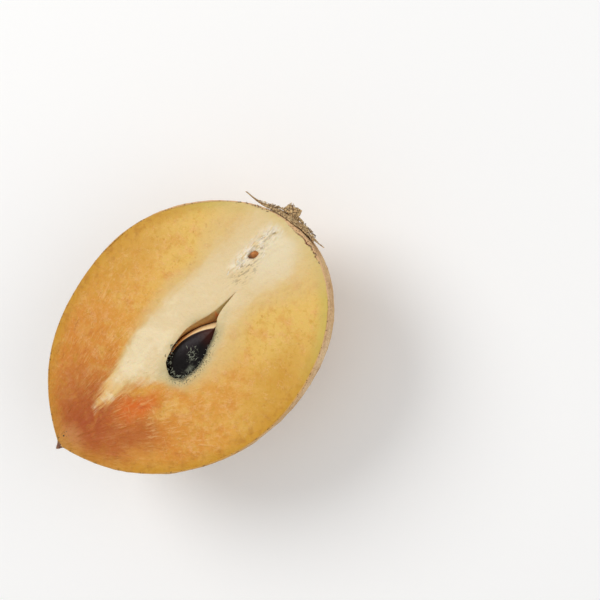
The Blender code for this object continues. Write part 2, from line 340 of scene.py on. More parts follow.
def smoothstep(value, start, end):
    """From 0 at the start to 1 at the end, by three squares less two cubes of the share of the way."""
    share = np.clip((value - start) / (end - start), 0.0, 1.0)
    return share * share * (3 - 2 * share)


def joined(*parts):
    """One array of points or directions from their separate coordinates."""
    return np.stack(np.broadcast_arrays(*parts), axis=-1)


def circle(turn):
    """Points on the unit circle: the cosine and the sine of each turn."""
    return joined(np.cos(turn), np.sin(turn))


def full_turn(columns):
    """Even turns once round, without the last, which would repeat the first."""
    return np.linspace(0, 2 * math.pi, columns, endpoint=False)


def rim_reach(turn):
    """Distance from the face's middle to its rim: a smooth closed curve with a rounded cusp at the tip."""
    turn = (turn + math.pi) % (2 * math.pi) - math.pi
    waves = np.fft.rfft(RIM_REACH) / len(RIM_REACH)
    waves[1:] *= 2.0
    smooth = sum(np.real(wave * np.exp(1j * order * turn)) for order, wave in enumerate(waves))
    from_tip = math.pi - np.abs(turn)
    return smooth + TIP_RISE * np.exp(-np.hypot(from_tip, TIP_ROUNDING) / TIP_SPREAD)


def surface_reach(direction):
    """How far the uncut fruit's surface lies from the face's middle along unit directions.

    Its two rims, on the +Y and the -Y side, blend into each other round the stem-to-tip line by the cosine.
    """
    from_stem = np.arccos(np.clip(direction[..., 0], -1.0, 1.0))
    sideways = direction[..., 1] / np.maximum(np.hypot(direction[..., 1], direction[..., 2]), 1e-9)
    far, near = rim_reach(from_stem), rim_reach(-from_stem)
    return (far + near) / 2 + sideways * (far - near) / 2


def rim_corner():
    """The largest x and y of the rim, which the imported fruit's box has too."""
    turn = np.linspace(-math.pi, math.pi, RIM_SAMPLES)
    return (rim_reach(turn) * np.cos(turn)).max(), (rim_reach(turn) * np.sin(turn)).max()


FRUIT_TOP = np.array(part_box("fruit_half")[1])
FACE_MIDDLE = FRUIT_TOP - np.array([*rim_corner(), 0.0]) * MM
FACE_HEIGHT = FACE_MIDDLE[2] / MM


def cell_value(cell, seed):
    """A fixed number from -1 to 1 for each whole-number cell, by mixing its coordinates' bits."""
    mixed = seed * 15485863
    for axis, prime in enumerate((73856093, 19349663, 83492791)):
        mixed = mixed ^ (cell[..., axis] * prime)
    mixed = mixed & 0xFFFFFFFF
    mixed = ((mixed ^ (mixed >> 15)) * 739982445) & 0xFFFFFFFF
    mixed = ((mixed ^ (mixed >> 12)) * 695872825) & 0xFFFFFFFF
    return (mixed ^ (mixed >> 15)) / 0x7FFFFFFF - 1.0


def unevenness(points, size, octaves=3, seed=0):
    """Noise from about -1 to 1: cell values blended between cells, summed over ever finer cells."""
    points = np.asarray(points, float)
    total, weight = 0.0, 0.0
    for octave in range(octaves):
        scaled = points * 2**octave / size
        base = np.floor(scaled).astype(np.int64)
        share = scaled - base
        share = share * share * (3 - 2 * share)
        for corner in itertools.product((0, 1), repeat=3):
            near = np.prod(np.where(corner, share, 1 - share), axis=-1)
            total = total + near * cell_value(base + np.array(corner), seed + octave) / 2**octave
        weight += 1 / 2**octave
    return total / weight * NOISE_CONTRAST


def smooth_loop(corners, steps):
    """A closed curve through corners, as a Catmull-Rom spline with that many steps from each to the next."""
    corners = np.array(corners, float)
    before, after, beyond = (np.roll(corners, shift, axis=0) for shift in (1, -1, -2))
    t = np.arange(steps)[None, :, None] / steps
    here, before, after, beyond = (p[:, None, :] for p in (corners, before, after, beyond))
    slope_in, slope_out = (after - before) / 2, (beyond - here) / 2
    curve = (
        here
        + slope_in * t
        + (3 * (after - here) - 2 * slope_in - slope_out) * t**2
        + (2 * (here - after) + slope_in + slope_out) * t**3
    )
    return curve.reshape(-1, 2)


def seed_outline(turn, grow=0.0):
    """The seed's widest outline: an ellipse whose width falls off towards the point by a power of a sine."""
    turn = np.asarray(turn)
    point, blunt = np.array(SEED_POINT), np.array(SEED_BLUNT_END)
    every = full_turn(OUTLINE_SAMPLES)
    widest = np.abs(np.sin(every) * np.sin(every / 2) ** SEED_TAPER).max()
    heading = unit(point - blunt)
    along = np.cos(turn) * (np.linalg.norm(point - blunt) / 2 + grow)
    width = np.sin(turn) * np.abs(np.sin(turn / 2)) ** SEED_TAPER / widest * (SEED_WIDTH / 2 + grow)
    middle = (point + blunt) / 2
    return joined(
        middle[0] + along * heading[0] - width * heading[1],
        middle[1] + along * heading[1] + width * heading[0],
    )


def reach_along(turn, loop):
    """How far a closed loop of points lies from the origin along turns, read off between its points."""
    angle = np.arctan2(loop[:, 1], loop[:, 0])
    order = np.argsort(angle)
    return np.interp(turn, angle[order], np.hypot(*loop[order].T), period=2 * math.pi)


def seed_share(x, y):
    """How far out in the seed a point lies: 0 halfway along the seed and 1 at its outline."""
    middle = (np.array(SEED_POINT) + np.array(SEED_BLUNT_END)) / 2
    turn = np.arctan2(y - middle[1], x - middle[0])
    edge = reach_along(turn, seed_outline(full_turn(OUTLINE_SAMPLES)) - middle)
    return np.hypot(x - middle[0], y - middle[1]) / edge


def seed_top(x, y):
    """Height of the seed's upper side, which is domed by one minus a power of the share."""
    share = np.clip(seed_share(x, y), 0, 1)
    return SEED_THICKNESS / 2 * (np.sqrt(1 - share**SEED_EDGE_POWER) - 1) - SEED_BELOW_FACE


def core_depth(x, y):
    """How far inside the pale core a point lies: 1 where an edge's softness ends inside it, -1 outside."""
    at, upper, lower, soft_above, soft_below = np.array(CORE_EDGES).T
    above = (np.interp(x, at, upper) - y) / np.interp(x, at, soft_above)
    below = (y - np.interp(x, at, lower)) / np.interp(x, at, soft_below)
    before = (x - at[0]) / soft_above[0]
    return np.clip(np.minimum(np.minimum(above, below), before), -3, 3)


def object_from(name, points, quads, attributes=None, sharp_over=50.0):
    """A closed mesh in the frame from points in millimetres, welded at its poles and facing out."""
    points = np.reshape(points, (-1, 3))
    quads = np.asarray(quads, np.int32).reshape(-1, 4)
    mesh = bpy.data.meshes.new(name)
    mesh.vertices.add(len(points))
    mesh.vertices.foreach_set("co", (FACE_MIDDLE + points * MM).astype(np.float32).ravel())
    mesh.loops.add(quads.size)
    mesh.loops.foreach_set("vertex_index", quads.ravel())
    mesh.polygons.add(len(quads))
    mesh.polygons.foreach_set("loop_start", np.arange(len(quads), dtype=np.int32) * 4)
    mesh.update(calc_edges=True)
    for label, values in (attributes or {}).items():
        layer = mesh.attributes.new(label, "FLOAT", "POINT")
        layer.data.foreach_set("value", np.asarray(values, np.float32).ravel())
    work = bmesh.new()
    work.from_mesh(mesh)
    bmesh.ops.remove_doubles(work, verts=work.verts, dist=MERGE_METRES)
    if work.calc_volume(signed=True) < 0:
        bmesh.ops.reverse_faces(work, faces=work.faces)
    work.to_mesh(mesh)
    work.free()
    mesh.shade_smooth()
    mesh.set_sharp_from_angle(angle=math.radians(sharp_over))
    made = bpy.data.objects.new(name, mesh)
    bpy.context.scene.collection.objects.link(made)
    return made


def ring_quads(rings, columns):
    """Quads between neighbouring rings of points, each ring closed on itself."""
    row = np.arange(rings - 1)[:, None] * columns
    here = np.arange(columns)[None, :]
    beside = (here + 1) % columns
    return joined(row + here, row + beside, row + columns + beside, row + columns + here)


def ring_object(name, points, attributes=None):
    """A closed mesh from rings of points."""
    return object_from(name, points, ring_quads(*points.shape[:2]), attributes)


def finish_piece(piece, material, slot, *nodes):
    """Gives a piece its material and its body, and hides the solids that it stands for. The slot is not used.
    """
    piece.data.materials.clear()
    piece.data.materials.append(material)
    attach(piece, "root")
    if nodes:
        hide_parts(*nodes)


def white_tissue(x, y):
    """Where the core's white fibrous tissue lies, from 0 to 1: a spindle from the stem towards the seed."""
    middle = 2.1 - 0.05 * (x - 22)
    spread = 0.6 + 1.1 * smoothstep(x, 13, 23)
    return smoothstep(x, 14, 20) * (1 - smoothstep(x, 29.0, 31.5)) * np.exp(-(((y - middle) / spread) ** 2))


def small_seed_share(x, y):
    """How far out a point lies from the undeveloped seed's middle, 1 at its edge."""
    cos, sin = math.cos(SMALL_SEED_HEADING), math.sin(SMALL_SEED_HEADING)
    dx, dy = x - SMALL_SEED_CENTRE[0], y - SMALL_SEED_CENTRE[1]
    along, across = dx * cos + dy * sin, dy * cos - dx * sin
    return np.hypot(along / (SMALL_SEED_SIZE[0] / 2), across / (SMALL_SEED_SIZE[1] / 2))


def skin_thickness(turn, looks):
    """Thickness of the skin at the cut: even, but greater and torn round the stem, by bell curves."""
    from_stem = (turn + math.pi) % (2 * math.pi) - math.pi
    thicker = looks.stem_thickness * np.exp(-(((from_stem + 0.03) / 0.1) ** 2))
    place = joined(30 * np.cos(turn), 30 * np.sin(turn), 0.0)
    torn = looks.torn * np.exp(-(((from_stem + 0.1) / 0.5) ** 2)) * unevenness(place, 1.1, 3, seed=73)
    return np.maximum(looks.thickness + thicker + torn, looks.thickness * 0.6) / MM


def face_relief(x, y, from_rim, from_opening, looks):
    """Height of the cut face: broad and fine unevenness, streaks from the tip, torn tissue, rounded edges."""
    flat = joined(x, y, 0.0)
    height = looks.relief / MM * unevenness(flat, 9.0, 2, seed=3)
    height += looks.grain / MM * unevenness(flat, 0.9, 2, seed=11)
    along, across = x - STREAK_SOURCE[0], y - STREAK_SOURCE[1]
    fan = joined(np.arctan2(across, along) * STREAKS_ROUND, np.hypot(along, across) * STREAKS_ALONG, 0.0)
    streaks = unevenness(fan, 1.0, 2, seed=21)
    height += STREAK_HEIGHT * streaks * (1 - smoothstep(x, -12, 4))
    core = smoothstep(core_depth(x, y), -1, 1)
    lengthwise = unevenness(joined(x * 0.28, y * 1.5, 0.0), 1.0, 2, seed=31)
    height += core * (CORE_GRAIN * lengthwise - CORE_SINK)
    torn = unevenness(joined(x * 0.55, y * 1.5, 0.0), 1.0, 3, seed=41)
    height += TISSUE_HEIGHT * white_tissue(x, y) * torn
    hollow = 1 - smoothstep(small_seed_share(x, y), 0.9, 1.35)
    height -= SMALL_HOLLOW_DEPTH * hollow
    height -= OPENING_EDGE_DROP * np.exp(-np.maximum(from_opening, 0) / OPENING_EDGE_WIDTH)
    height -= RIM_DROP * np.exp(-np.maximum(from_rim, 0) / RIM_WIDTH)
    return height


def flesh_surface(looks, skin_looks):
    """The flesh as rings of one closed surface, with its measures of place.

    The rings climb from the floor of the seed's hollow up its wall to the opening's outline, cross the cut
    face to the rim, and go down inside the skin to the bottom. On the face, a column of points runs straight
    from the opening's outline to the rim, at a turn that lies midway between the outline's own direction and
    an even spread.
    """
    outline = smooth_loop(OPENING_OUTLINE, STEPS_PER_CORNER)
    columns = len(outline)
    hub = outline.mean(axis=0)
    arm = outline - hub
    turn = np.unwrap(np.arctan2(arm[:, 1], arm[:, 0]))
    torn_side = smoothstep(-arm @ unit(np.array(CLEAN_SIDE)), -1.0, 3.0)
    wander = unevenness(joined(*outline.T, 0.0), 1.3, 3, seed=5)
    lap = looks.lap * smoothstep(outline[:, 0], -7.0, -3.0)
    lap -= looks.ragged * (1 - smoothstep(outline[:, 0], -8.0, -5.0))
    open_reach = np.hypot(*arm.T) + (looks.ragged * wander - lap) / MM * torn_side
    outline = hub + open_reach[:, None] * circle(turn)
    seed_reach = reach_along(turn, seed_outline(full_turn(OUTLINE_SAMPLES), HOLLOW_GAP) - hub)

    even = turn[0] - np.arange(columns) * 2 * math.pi / columns
    rim_turn = (turn + even) / 2
    inset = skin_thickness(rim_turn, skin_looks) - SKIN_OVERLAP
    rim = (rim_reach(rim_turn) - inset)[:, None] * circle(rim_turn)

    across = np.linspace(0, 1, FLESH_FACE_RINGS)[:, None] ** 1.12
    face = outline + (rim - outline) * across[..., None]
    x, y = face[..., 0], face[..., 1]
    edge_turn = np.arctan2(y, x)
    from_rim = rim_reach(edge_turn) - skin_thickness(edge_turn, skin_looks) + SKIN_OVERLAP - np.hypot(x, y)
    samples = outline[::STEPS_PER_SAMPLE]
    nearest = np.hypot(x[..., None] - samples[:, 0], y[..., None] - samples[:, 1]).min(axis=-1)
    from_opening = np.minimum(np.hypot(*(rim - outline).T) * across, nearest)
    height = face_relief(x, y, from_rim, from_opening, looks)

    middle_height = -SEED_BELOW_FACE - SEED_THICKNESS / 2
    down = np.linspace(1, 0, FLESH_WALL_RINGS + 1)[:-1, None]
    wall_reach = open_reach + (seed_reach - open_reach) * smoothstep(down, -0.05, 0.75)
    wall_height = height[0] + (middle_height - height[0]) * down
    share = np.cos(np.linspace(math.pi / 2, 0, FLESH_BOWL_RINGS + 1)[:-1, None])
    share[0] = 0.0
    bowl_reach = seed_reach * share
    bowl_height = middle_height - (SEED_THICKNESS / 2 + HOLLOW_GAP) * np.sqrt(1 - share**SEED_EDGE_POWER)
    bowl_height = bowl_height + np.zeros(columns)
    pit_reach = np.concatenate([bowl_reach, wall_reach])
    pit_height = np.concatenate([bowl_height, wall_height])
    pit = joined(hub[0] + pit_reach * np.cos(turn), hub[1] + pit_reach * np.sin(turn), pit_height)

    fall = np.linspace(0, math.pi / 2, FLESH_UNDER_RINGS + 1)[1:, None]
    direction = joined(np.cos(fall) * np.cos(rim_turn), np.cos(fall) * np.sin(rim_turn), -np.sin(fall))
    under = direction * (surface_reach(direction) - inset)[..., None]
    under[..., 2] = np.maximum(under[..., 2], FLESH_ABOVE_FLOOR - FACE_HEIGHT)
    under[-1] = under[-1].mean(axis=0)

    points = np.concatenate([pit, joined(x, y, height), under])
    every_x, every_y = points[..., 0], points[..., 1]
    in_pit, below = np.full(pit.shape[:2], FAR), np.full(under.shape[:2], FAR)
    attributes = {
        "core": core_depth(every_x, every_y),
        "from_rim": np.concatenate([in_pit, from_rim, below * 0]),
        "from_opening": np.concatenate([np.minimum(pit[..., 2] - height[0], 0.0), from_opening, below]),
        "tissue": white_tissue(every_x, every_y),
    }
    return points, attributes


def skin_surface(looks):
    """The skin as rings of one closed shell: up the outside, over its cut edge and down the inside.

    The outside is the fruit's surface raised by broad lumps and fine scurf, and flattened where it rests.
    """
    turn = full_turn(SKIN_COLUMNS)
    thickness = skin_thickness(turn, looks)

    def sheet(fall, inset, rough):
        """Rings of one side of the skin, at falls from the cut face, set in from the fruit's surface."""
        direction = joined(np.cos(fall) * np.cos(turn), np.cos(fall) * np.sin(turn), -np.sin(fall))
        reach = surface_reach(direction) - inset
        if rough:
            place = direction * reach[..., None]
            reach += looks.lumps / MM * unevenness(place, 7.0, 3, seed=51)
            reach += looks.roughness / MM * unevenness(place, 0.9, 2, seed=61)
        points = direction * reach[..., None]
        lowest = np.minimum(inset, SKIN_INSIDE_ABOVE_FLOOR) - FACE_HEIGHT
        points[..., 2] = np.maximum(points[..., 2], lowest)
        return points

    outside = sheet(np.linspace(math.pi / 2, SKIN_START, SKIN_OUTER_RINGS)[:, None], 0.0, True)
    outside[0] = outside[0].mean(axis=0)
    bulge = np.linspace(0, math.pi, SKIN_EDGE_RINGS + 2)[1:-1, None]
    rim = circle(turn)
    middle = rim_reach(turn) - thickness / 2
    wear = SKIN_WEAR * unevenness(joined(*rim.T * 33, 0.0), 1.6, 3, seed=71)
    reach = middle + np.cos(bulge) * thickness / 2
    lift = np.sin(bulge) * SKIN_EDGE_BULGE + wear - SKIN_EDGE_DROP
    edge = joined(reach * rim[:, 0], reach * rim[:, 1], lift)
    inside = sheet(np.linspace(SKIN_START, math.pi / 2, SKIN_INNER_RINGS)[:, None], thickness, False)
    inside[-1] = inside[-1].mean(axis=0)
    return np.concatenate([outside, edge, inside])


def seed_surface(looks):
    """The seed as rings from its upper middle over the edge to its lower middle, with its scar's mask.

    Each ring is the outline shrunk by a share, at the height of a dome. The scar is a raised band along the
    edge that faces the core, from near the point to past the middle.
    """
    turn = full_turn(SEED_COLUMNS)
    step = np.linspace(0, math.pi, 2 * SEED_LEVELS + 1)
    share = np.sin(step)
    share[[0, -1]] = 0.0
    side = np.sign(np.linspace(1, -1, 2 * SEED_LEVELS + 1))
    dome = side * SEED_THICKNESS / 2 * np.sqrt(1 - np.minimum(share, 1) ** SEED_EDGE_POWER)
    middle = (np.array(SEED_POINT) + np.array(SEED_BLUNT_END)) / 2
    flat = middle + (seed_outline(turn) - middle) * share[:, None, None]
    height = np.broadcast_to((dome - SEED_BELOW_FACE - SEED_THICKNESS / 2)[:, None], flat.shape[:2])
    points = np.concatenate([flat, height[..., None]], axis=-1)
    along = smoothstep(turn, 0.06, 0.20) * (1 - smoothstep(turn, 1.95, 2.4))
    start = 0.75 + 0.02 * smoothstep(turn, 0.3, 2.0)
    scar = along * smoothstep(share[:, None] - start, 0.0, 0.05) * (side > -1)[:, None]
    outward = unit(points - np.array([*middle, -SEED_BELOW_FACE - SEED_THICKNESS / 2]))
    ripple = 0.05 * unevenness(points * np.array([0.35, 1, 1]), 1.2, 2, seed=81)
    points = points + outward * (scar * looks.scar_rise / MM + ripple * (share > 0)[:, None])[..., None]
    return points, {"scar": scar, "edge": share[:, None] * np.ones(SEED_COLUMNS)}


def small_seed_surface(rings=26, columns=48):
    """The undeveloped seed: a wrinkled ellipsoid in rings about its long axis."""
    fall = np.linspace(0, math.pi, rings)[:, None]
    turn = full_turn(columns)
    long, wide, high = (size / 2 for size in SMALL_SEED_SIZE)
    along = np.cos(fall) * long * np.ones(columns)
    across = np.sin(fall) * np.cos(turn) * wide
    height = np.sin(fall) * np.sin(turn) * high
    wrinkle = 1 + 0.10 * unevenness(joined(along, across, height), 0.5, 2, seed=91)
    cos, sin = math.cos(SMALL_SEED_HEADING), math.sin(SMALL_SEED_HEADING)
    return joined(
        SMALL_SEED_CENTRE[0] + (along * cos - across * sin) * wrinkle,
        SMALL_SEED_CENTRE[1] + (along * sin + across * cos) * wrinkle,
        height * wrinkle - SMALL_SEED_SIZE[2] / 6,
    )


def frame_at(azimuth, drop):
    """A direction from the face's middle, and the two directions square to it: across, and down."""
    axis = np.array([math.cos(drop) * math.cos(azimuth), math.cos(drop) * math.sin(azimuth), -math.sin(drop)])
    across = unit(np.array([-axis[1], axis[0], 0.0]))
    return axis, across, np.cross(across, axis)


def ring_about(turn, across, down):
    """Unit directions square to an axis, at turns from the direction across towards the one down."""
    return np.cos(turn)[..., None] * across + np.sin(turn)[..., None] * down


def on_skin(direction, lift):
    """Points along unit directions, lifted off the fruit's surface."""
    return direction * (surface_reach(direction) + lift)[..., None]


def skin_place(radius, turn, lift):
    """Points over the skin round the calyx's middle, at a distance, a turn and a lift."""
    axis, across, down = frame_at(CALYX_AZIMUTH, CALYX_DROP)
    ring = ring_about(turn, across, down)
    return on_skin(unit(axis * surface_reach(axis) + radius[..., None] * ring), lift)


def calyx_surface(looks, rows=34, columns=432):
    """A disc whose edge runs out into pointed sepals, which thin, cup and lift off the skin to their tips."""
    turn = full_turn(columns)
    place = turn / (2 * math.pi) * SEPAL_COUNT
    sepal = np.rint(place).astype(int) % SEPAL_COUNT
    tip, lift = np.array(SEPALS)[sepal].T
    point = 1 - np.abs(np.sin(math.pi * place))
    ragged = unevenness(joined(*circle(turn).T, 0.0) * 8, 0.8, 3, seed=101)
    slim = np.where(sepal == 0, FILAMENT_POWER, SEPAL_POWER)
    edge = SEPAL_NOTCH + (tip - SEPAL_NOTCH) * point**slim * (1 + 0.05 * ragged) + 0.12 * ragged
    share = np.linspace(0, 1, rows)[:, None]
    radius = share * edge
    outward = np.clip((radius - SEPAL_NOTCH) / (tip - SEPAL_NOTCH), 0, 1)
    from_midrib = np.abs(place - np.rint(place)) * 2
    thin = DISC_THICKNESS + (SEPAL_THICKNESS - DISC_THICKNESS) * np.clip(radius / SEPAL_NOTCH, 0, 1)
    thickness = thin * (1 - 0.75 * share**6) * (1 - SEPAL_THINNING * outward**0.5)
    ridges = np.cos(from_midrib * 9) * smoothstep(radius, 1.5, 4.0)
    flat = joined(radius * np.cos(turn), radius * np.sin(turn), 0.0)
    rough = unevenness(flat, 0.9, 3, seed=111)
    cup = 0.9 * from_midrib**2 * smoothstep(radius, 3.0, SEPAL_NOTCH + 0.5) * (1 - outward)
    under = CALYX_GAP * 0.5 + lift * outward**1.6 + 0.35 * cup
    over = under + thickness + looks.ridge / MM * ridges * share + 0.12 * rough
    shell = np.concatenate([skin_place(radius, turn, over), skin_place(radius, turn, under)[::-1]])
    shell[0], shell[-1] = shell[0].mean(axis=0), shell[-1].mean(axis=0)
    return shell


def stub_surface(rows=40, columns=150):
    """The stalk's stub: a tapering, leaning post of fibre bundles with a broken, hollowed top."""
    axis, across, down = frame_at(CALYX_AZIMUTH, CALYX_DROP)
    turn = full_turn(columns)
    share = np.linspace(0, 1, rows)[:, None]
    side = np.minimum(share / 0.8, 1.0)
    inward = np.clip((share - 0.8) / 0.2, 0, 1)
    bundles = 0.10 * np.cos(9 * turn + 3 * share) + 0.06 * np.cos(17 * turn - 2 * share)
    at_wall = joined(np.cos(turn) * 2, np.sin(turn) * 2, 0.0)
    rough = unevenness(at_wall[None] + share[..., None] * np.array([0, 0, 2.2]), 0.6, 3, seed=121)
    radius = STUB_RADII[0] + (STUB_RADII[1] - STUB_RADII[0]) * side
    radius = radius * (1.04 + 0.6 * bundles + 0.08 * rough) * (1 - inward**1.5)
    broken = 0.2 * unevenness(at_wall, 0.9, 3, seed=131)
    slant = 1 - 0.3 * np.cos(turn)
    height = STUB_HEIGHT * slant * side - 0.2 * inward
    height += broken * smoothstep(side, 0.3, 1) * (1 - 0.6 * inward)
    foot = surface_reach(axis) + CALYX_GAP + DISC_THICKNESS
    ring = ring_about(turn, across, down)
    base = axis * (foot + height)[..., None] + across * (STUB_LEAN * side)[..., None]
    points = base + radius[..., None] * ring
    closing = axis * (foot - 0.5) + points[:1] * 0
    points[-1] = points[-1].mean(axis=0)
    return np.concatenate([closing, points])


def style_surface(rows=26, columns=60):
    """The dried style: a crooked brown spike with a shrivelled skin, on a low collar."""
    axis, across, down = frame_at(math.pi, STYLE_DROP)
    turn = full_turn(columns)
    share = np.linspace(0, 1, rows)[:, None]
    rough = unevenness(joined(np.cos(turn), np.sin(turn), share * 2), 0.7, 3, seed=141)
    radius = STYLE_RADIUS * (1 - share) ** 0.8 * (0.55 + 0.45 * np.exp(-share * 4))
    radius = (radius + 0.30 * np.sqrt(1 - share**2)) * (1 + 0.16 * rough)
    radius[-1] = 0.0
    ring = ring_about(turn, across, down)
    base = surface_reach(axis) - 0.1
    points = axis * (base + STYLE_HEIGHT * 1.08 * share[..., None]) + radius[..., None] * ring
    closing = axis * (base - 0.3) + points[:1] * 0
    return np.concatenate([closing, points])


def tubes(paths, radius):
    """Closed tubes along paths of points, thinning to a point at both ends.

    Each ring lies square to its path, on the cross products of the path's direction and a fixed direction.
    """
    number, steps = paths.shape[:2]
    ahead = unit(np.gradient(paths, axis=1))
    up = np.array([0.31, 0.17, 0.93])
    beside = unit(np.cross(ahead, up))
    above = np.cross(beside, ahead)
    turn = full_turn(STRAND_SIDES)
    swell = np.sin(np.linspace(0, math.pi, steps)) ** 0.5
    swell[[0, -1]] = 0.0
    size = radius[:, None, None, None] * swell[None, :, None, None]
    ring = np.cos(turn)[:, None] * beside[:, :, None, :] + np.sin(turn)[:, None] * above[:, :, None, :]
    points = paths[:, :, None, :] + size * ring
    per_strand = steps * STRAND_SIDES
    quads = ring_quads(steps, STRAND_SIDES)[None] + np.arange(number)[:, None, None, None] * per_strand
    return points.reshape(-1, 3), quads.reshape(-1, 4), per_strand


def wandering_paths(rng, starts, headings, lengths, steps, bend):
    """Paths in a plane that start at points, head one way and curve by a random amount."""
    share = np.linspace(0, 1, steps)[None, :]
    curl = rng.normal(0, bend, len(starts))[:, None]
    angle = headings[:, None] + curl * share
    stride = lengths[:, None] / (steps - 1)
    x = starts[:, :1] + np.cumsum(np.cos(angle) * stride, axis=1)
    y = starts[:, 1:2] + np.cumsum(np.sin(angle) * stride, axis=1)
    return x, y


def pulp_strands(looks):
    """Strands of pulp that reach from the torn edge of the hollow over the seed, and a few that lie on it."""
    rng = np.random.default_rng(PULP_DRAWS)
    number = looks.pulp_strands
    outline = smooth_loop(OPENING_OUTLINE, STEPS_PER_CORNER)
    hub = outline.mean(axis=0)
    torn = smoothstep(-(outline - hub) @ unit(np.array(CLEAN_SIDE)), 0.3, 3.0)
    chosen = rng.choice(len(outline), number, p=torn / torn.sum())
    inward = unit(hub - outline[chosen])
    starts = outline[chosen] - inward * rng.uniform(-0.35, 0.45, number)[:, None]
    headings = np.arctan2(inward[:, 1], inward[:, 0]) + rng.normal(0, 0.9, number)
    middle = rng.random(number) < 0.12
    starts[middle] = np.array([-1.6, -5.4]) + rng.normal(0, 0.75, (middle.sum(), 2))
    headings[middle] = rng.uniform(0, 2 * math.pi, middle.sum())
    x, y = wandering_paths(rng, starts, headings, rng.uniform(0.25, 0.95, number), 6, 0.9)
    on_face = smoothstep(seed_share(x, y), 0.78, 0.95)
    height = seed_top(x, y) * (1 - on_face) - 0.12 * on_face + rng.uniform(0.0, 0.14, number)[:, None]
    radius = looks.radius / MM * rng.uniform(0.5, 1.3, number)
    return joined(x, y, height), radius, rng.random(number)


def core_strands(looks):
    """Strands of white tissue in the core near the stem, half sunk in the face and running to the stem."""
    rng = np.random.default_rng(CORE_DRAWS)
    number = looks.core_strands
    start_x = rng.uniform(14.5, 29.5, number)
    spread = 0.4 + 1.2 * smoothstep(start_x, 14, 23)
    start_y = 1.7 + rng.normal(0, 0.6, number) * spread
    headings = rng.normal(0.05, 0.3, number)
    steps = 9
    lengths = rng.uniform(0.7, 2.4, number)
    x, y = wandering_paths(rng, joined(start_x, start_y), headings, lengths, steps, 0.6)
    x = np.minimum(x, STRAND_END)
    rise = 0.08 * np.sin(np.linspace(0, math.pi, steps))
    height = -0.24 + rng.uniform(0.0, 0.14, number)[:, None] + rise
    radius = looks.radius / MM * rng.uniform(0.8, 2.0, number)
    return joined(x, y, height), radius, rng.random(number)


def calyx_strands(looks):
    """Strands that fray from the disc and up the stub, some standing off its broken top."""
    rng = np.random.default_rng(CALYX_DRAWS)
    number = looks.calyx_strands
    steps = 8
    share = np.linspace(0, 1, steps)[None, :]
    turn = rng.uniform(-0.25, math.pi + 0.25, number)[:, None] + rng.normal(0, 0.16, number)[:, None] * share
    turn = turn + rng.normal(0, 0.05, number)[:, None] * np.sin(share * 2 * math.pi)
    start = rng.uniform(1.6, 6.4, number)[:, None]
    radius = start + rng.normal(0, 0.5, number)[:, None] * share
    lift = CALYX_GAP + DISC_THICKNESS * (1 - 0.4 * smoothstep(radius, 2, 6)) + 0.25 * np.sin(share * math.pi)
    paths = skin_place(np.abs(radius) + 0.3, turn, lift + rng.uniform(-0.1, 0.25, number)[:, None])
    axis, across, down = frame_at(CALYX_AZIMUTH, CALYX_DROP)
    climbing = rng.random(number) < 0.45
    around = rng.uniform(0, 2 * math.pi, number)[:, None] + rng.normal(0, 0.5, number)[:, None] * share
    ring = ring_about(around, across, down)
    up = rng.uniform(-0.05, 0.85, number)[:, None] + rng.uniform(0.1, 0.4, number)[:, None] * share
    wall = STUB_RADII[0] + (STUB_RADII[1] - STUB_RADII[0]) * np.clip(up, 0, 1) ** 0.6
    wall = wall * rng.uniform(0.9, 1.12, number)[:, None]
    foot = surface_reach(axis) + CALYX_GAP + DISC_THICKNESS
    climb = axis * (foot + STUB_HEIGHT * up)[..., None] + across * (STUB_LEAN * up)[..., None]
    climb = climb + ring * wall[..., None]
    paths = np.where(climbing[:, None, None], climb, paths)
    paths[..., 2] = np.minimum(paths[..., 2], 0.25)
    shade = rng.random(number)

    crumbs = looks.rim_crumbs
    above = rng.random(crumbs) < 0.7
    rim_turn = np.where(above, rng.uniform(0.17, 0.42, crumbs), rng.uniform(-0.3, -0.1, crumbs))
    start = (rim_reach(rim_turn) - rng.uniform(0.1, 0.4, crumbs))[:, None] * circle(rim_turn)
    headings = rim_turn + math.pi / 2 + rng.normal(0, 0.3, crumbs)
    x, y = wandering_paths(rng, start, headings, rng.uniform(0.2, 0.6, crumbs), steps, 0.6)
    height = -0.06 + rng.uniform(0, 0.08, crumbs)[:, None] + 0.05 * np.sin(share * math.pi)
    paths = np.concatenate([paths, joined(x, y, height)])
    shade = np.concatenate([shade, rng.uniform(0.55, 1.0, crumbs)])
    return paths, looks.radius / MM * rng.uniform(0.8, 1.9, number + crumbs), shade


def strand_object(name, paths, radius, shade):
    """One piece from many strands, with each strand's own shade as an attribute."""
    points, quads, per_strand = tubes(paths, radius)
    return object_from(name, points, quads, {"shade": np.repeat(shade, per_strand)}, sharp_over=80.0)


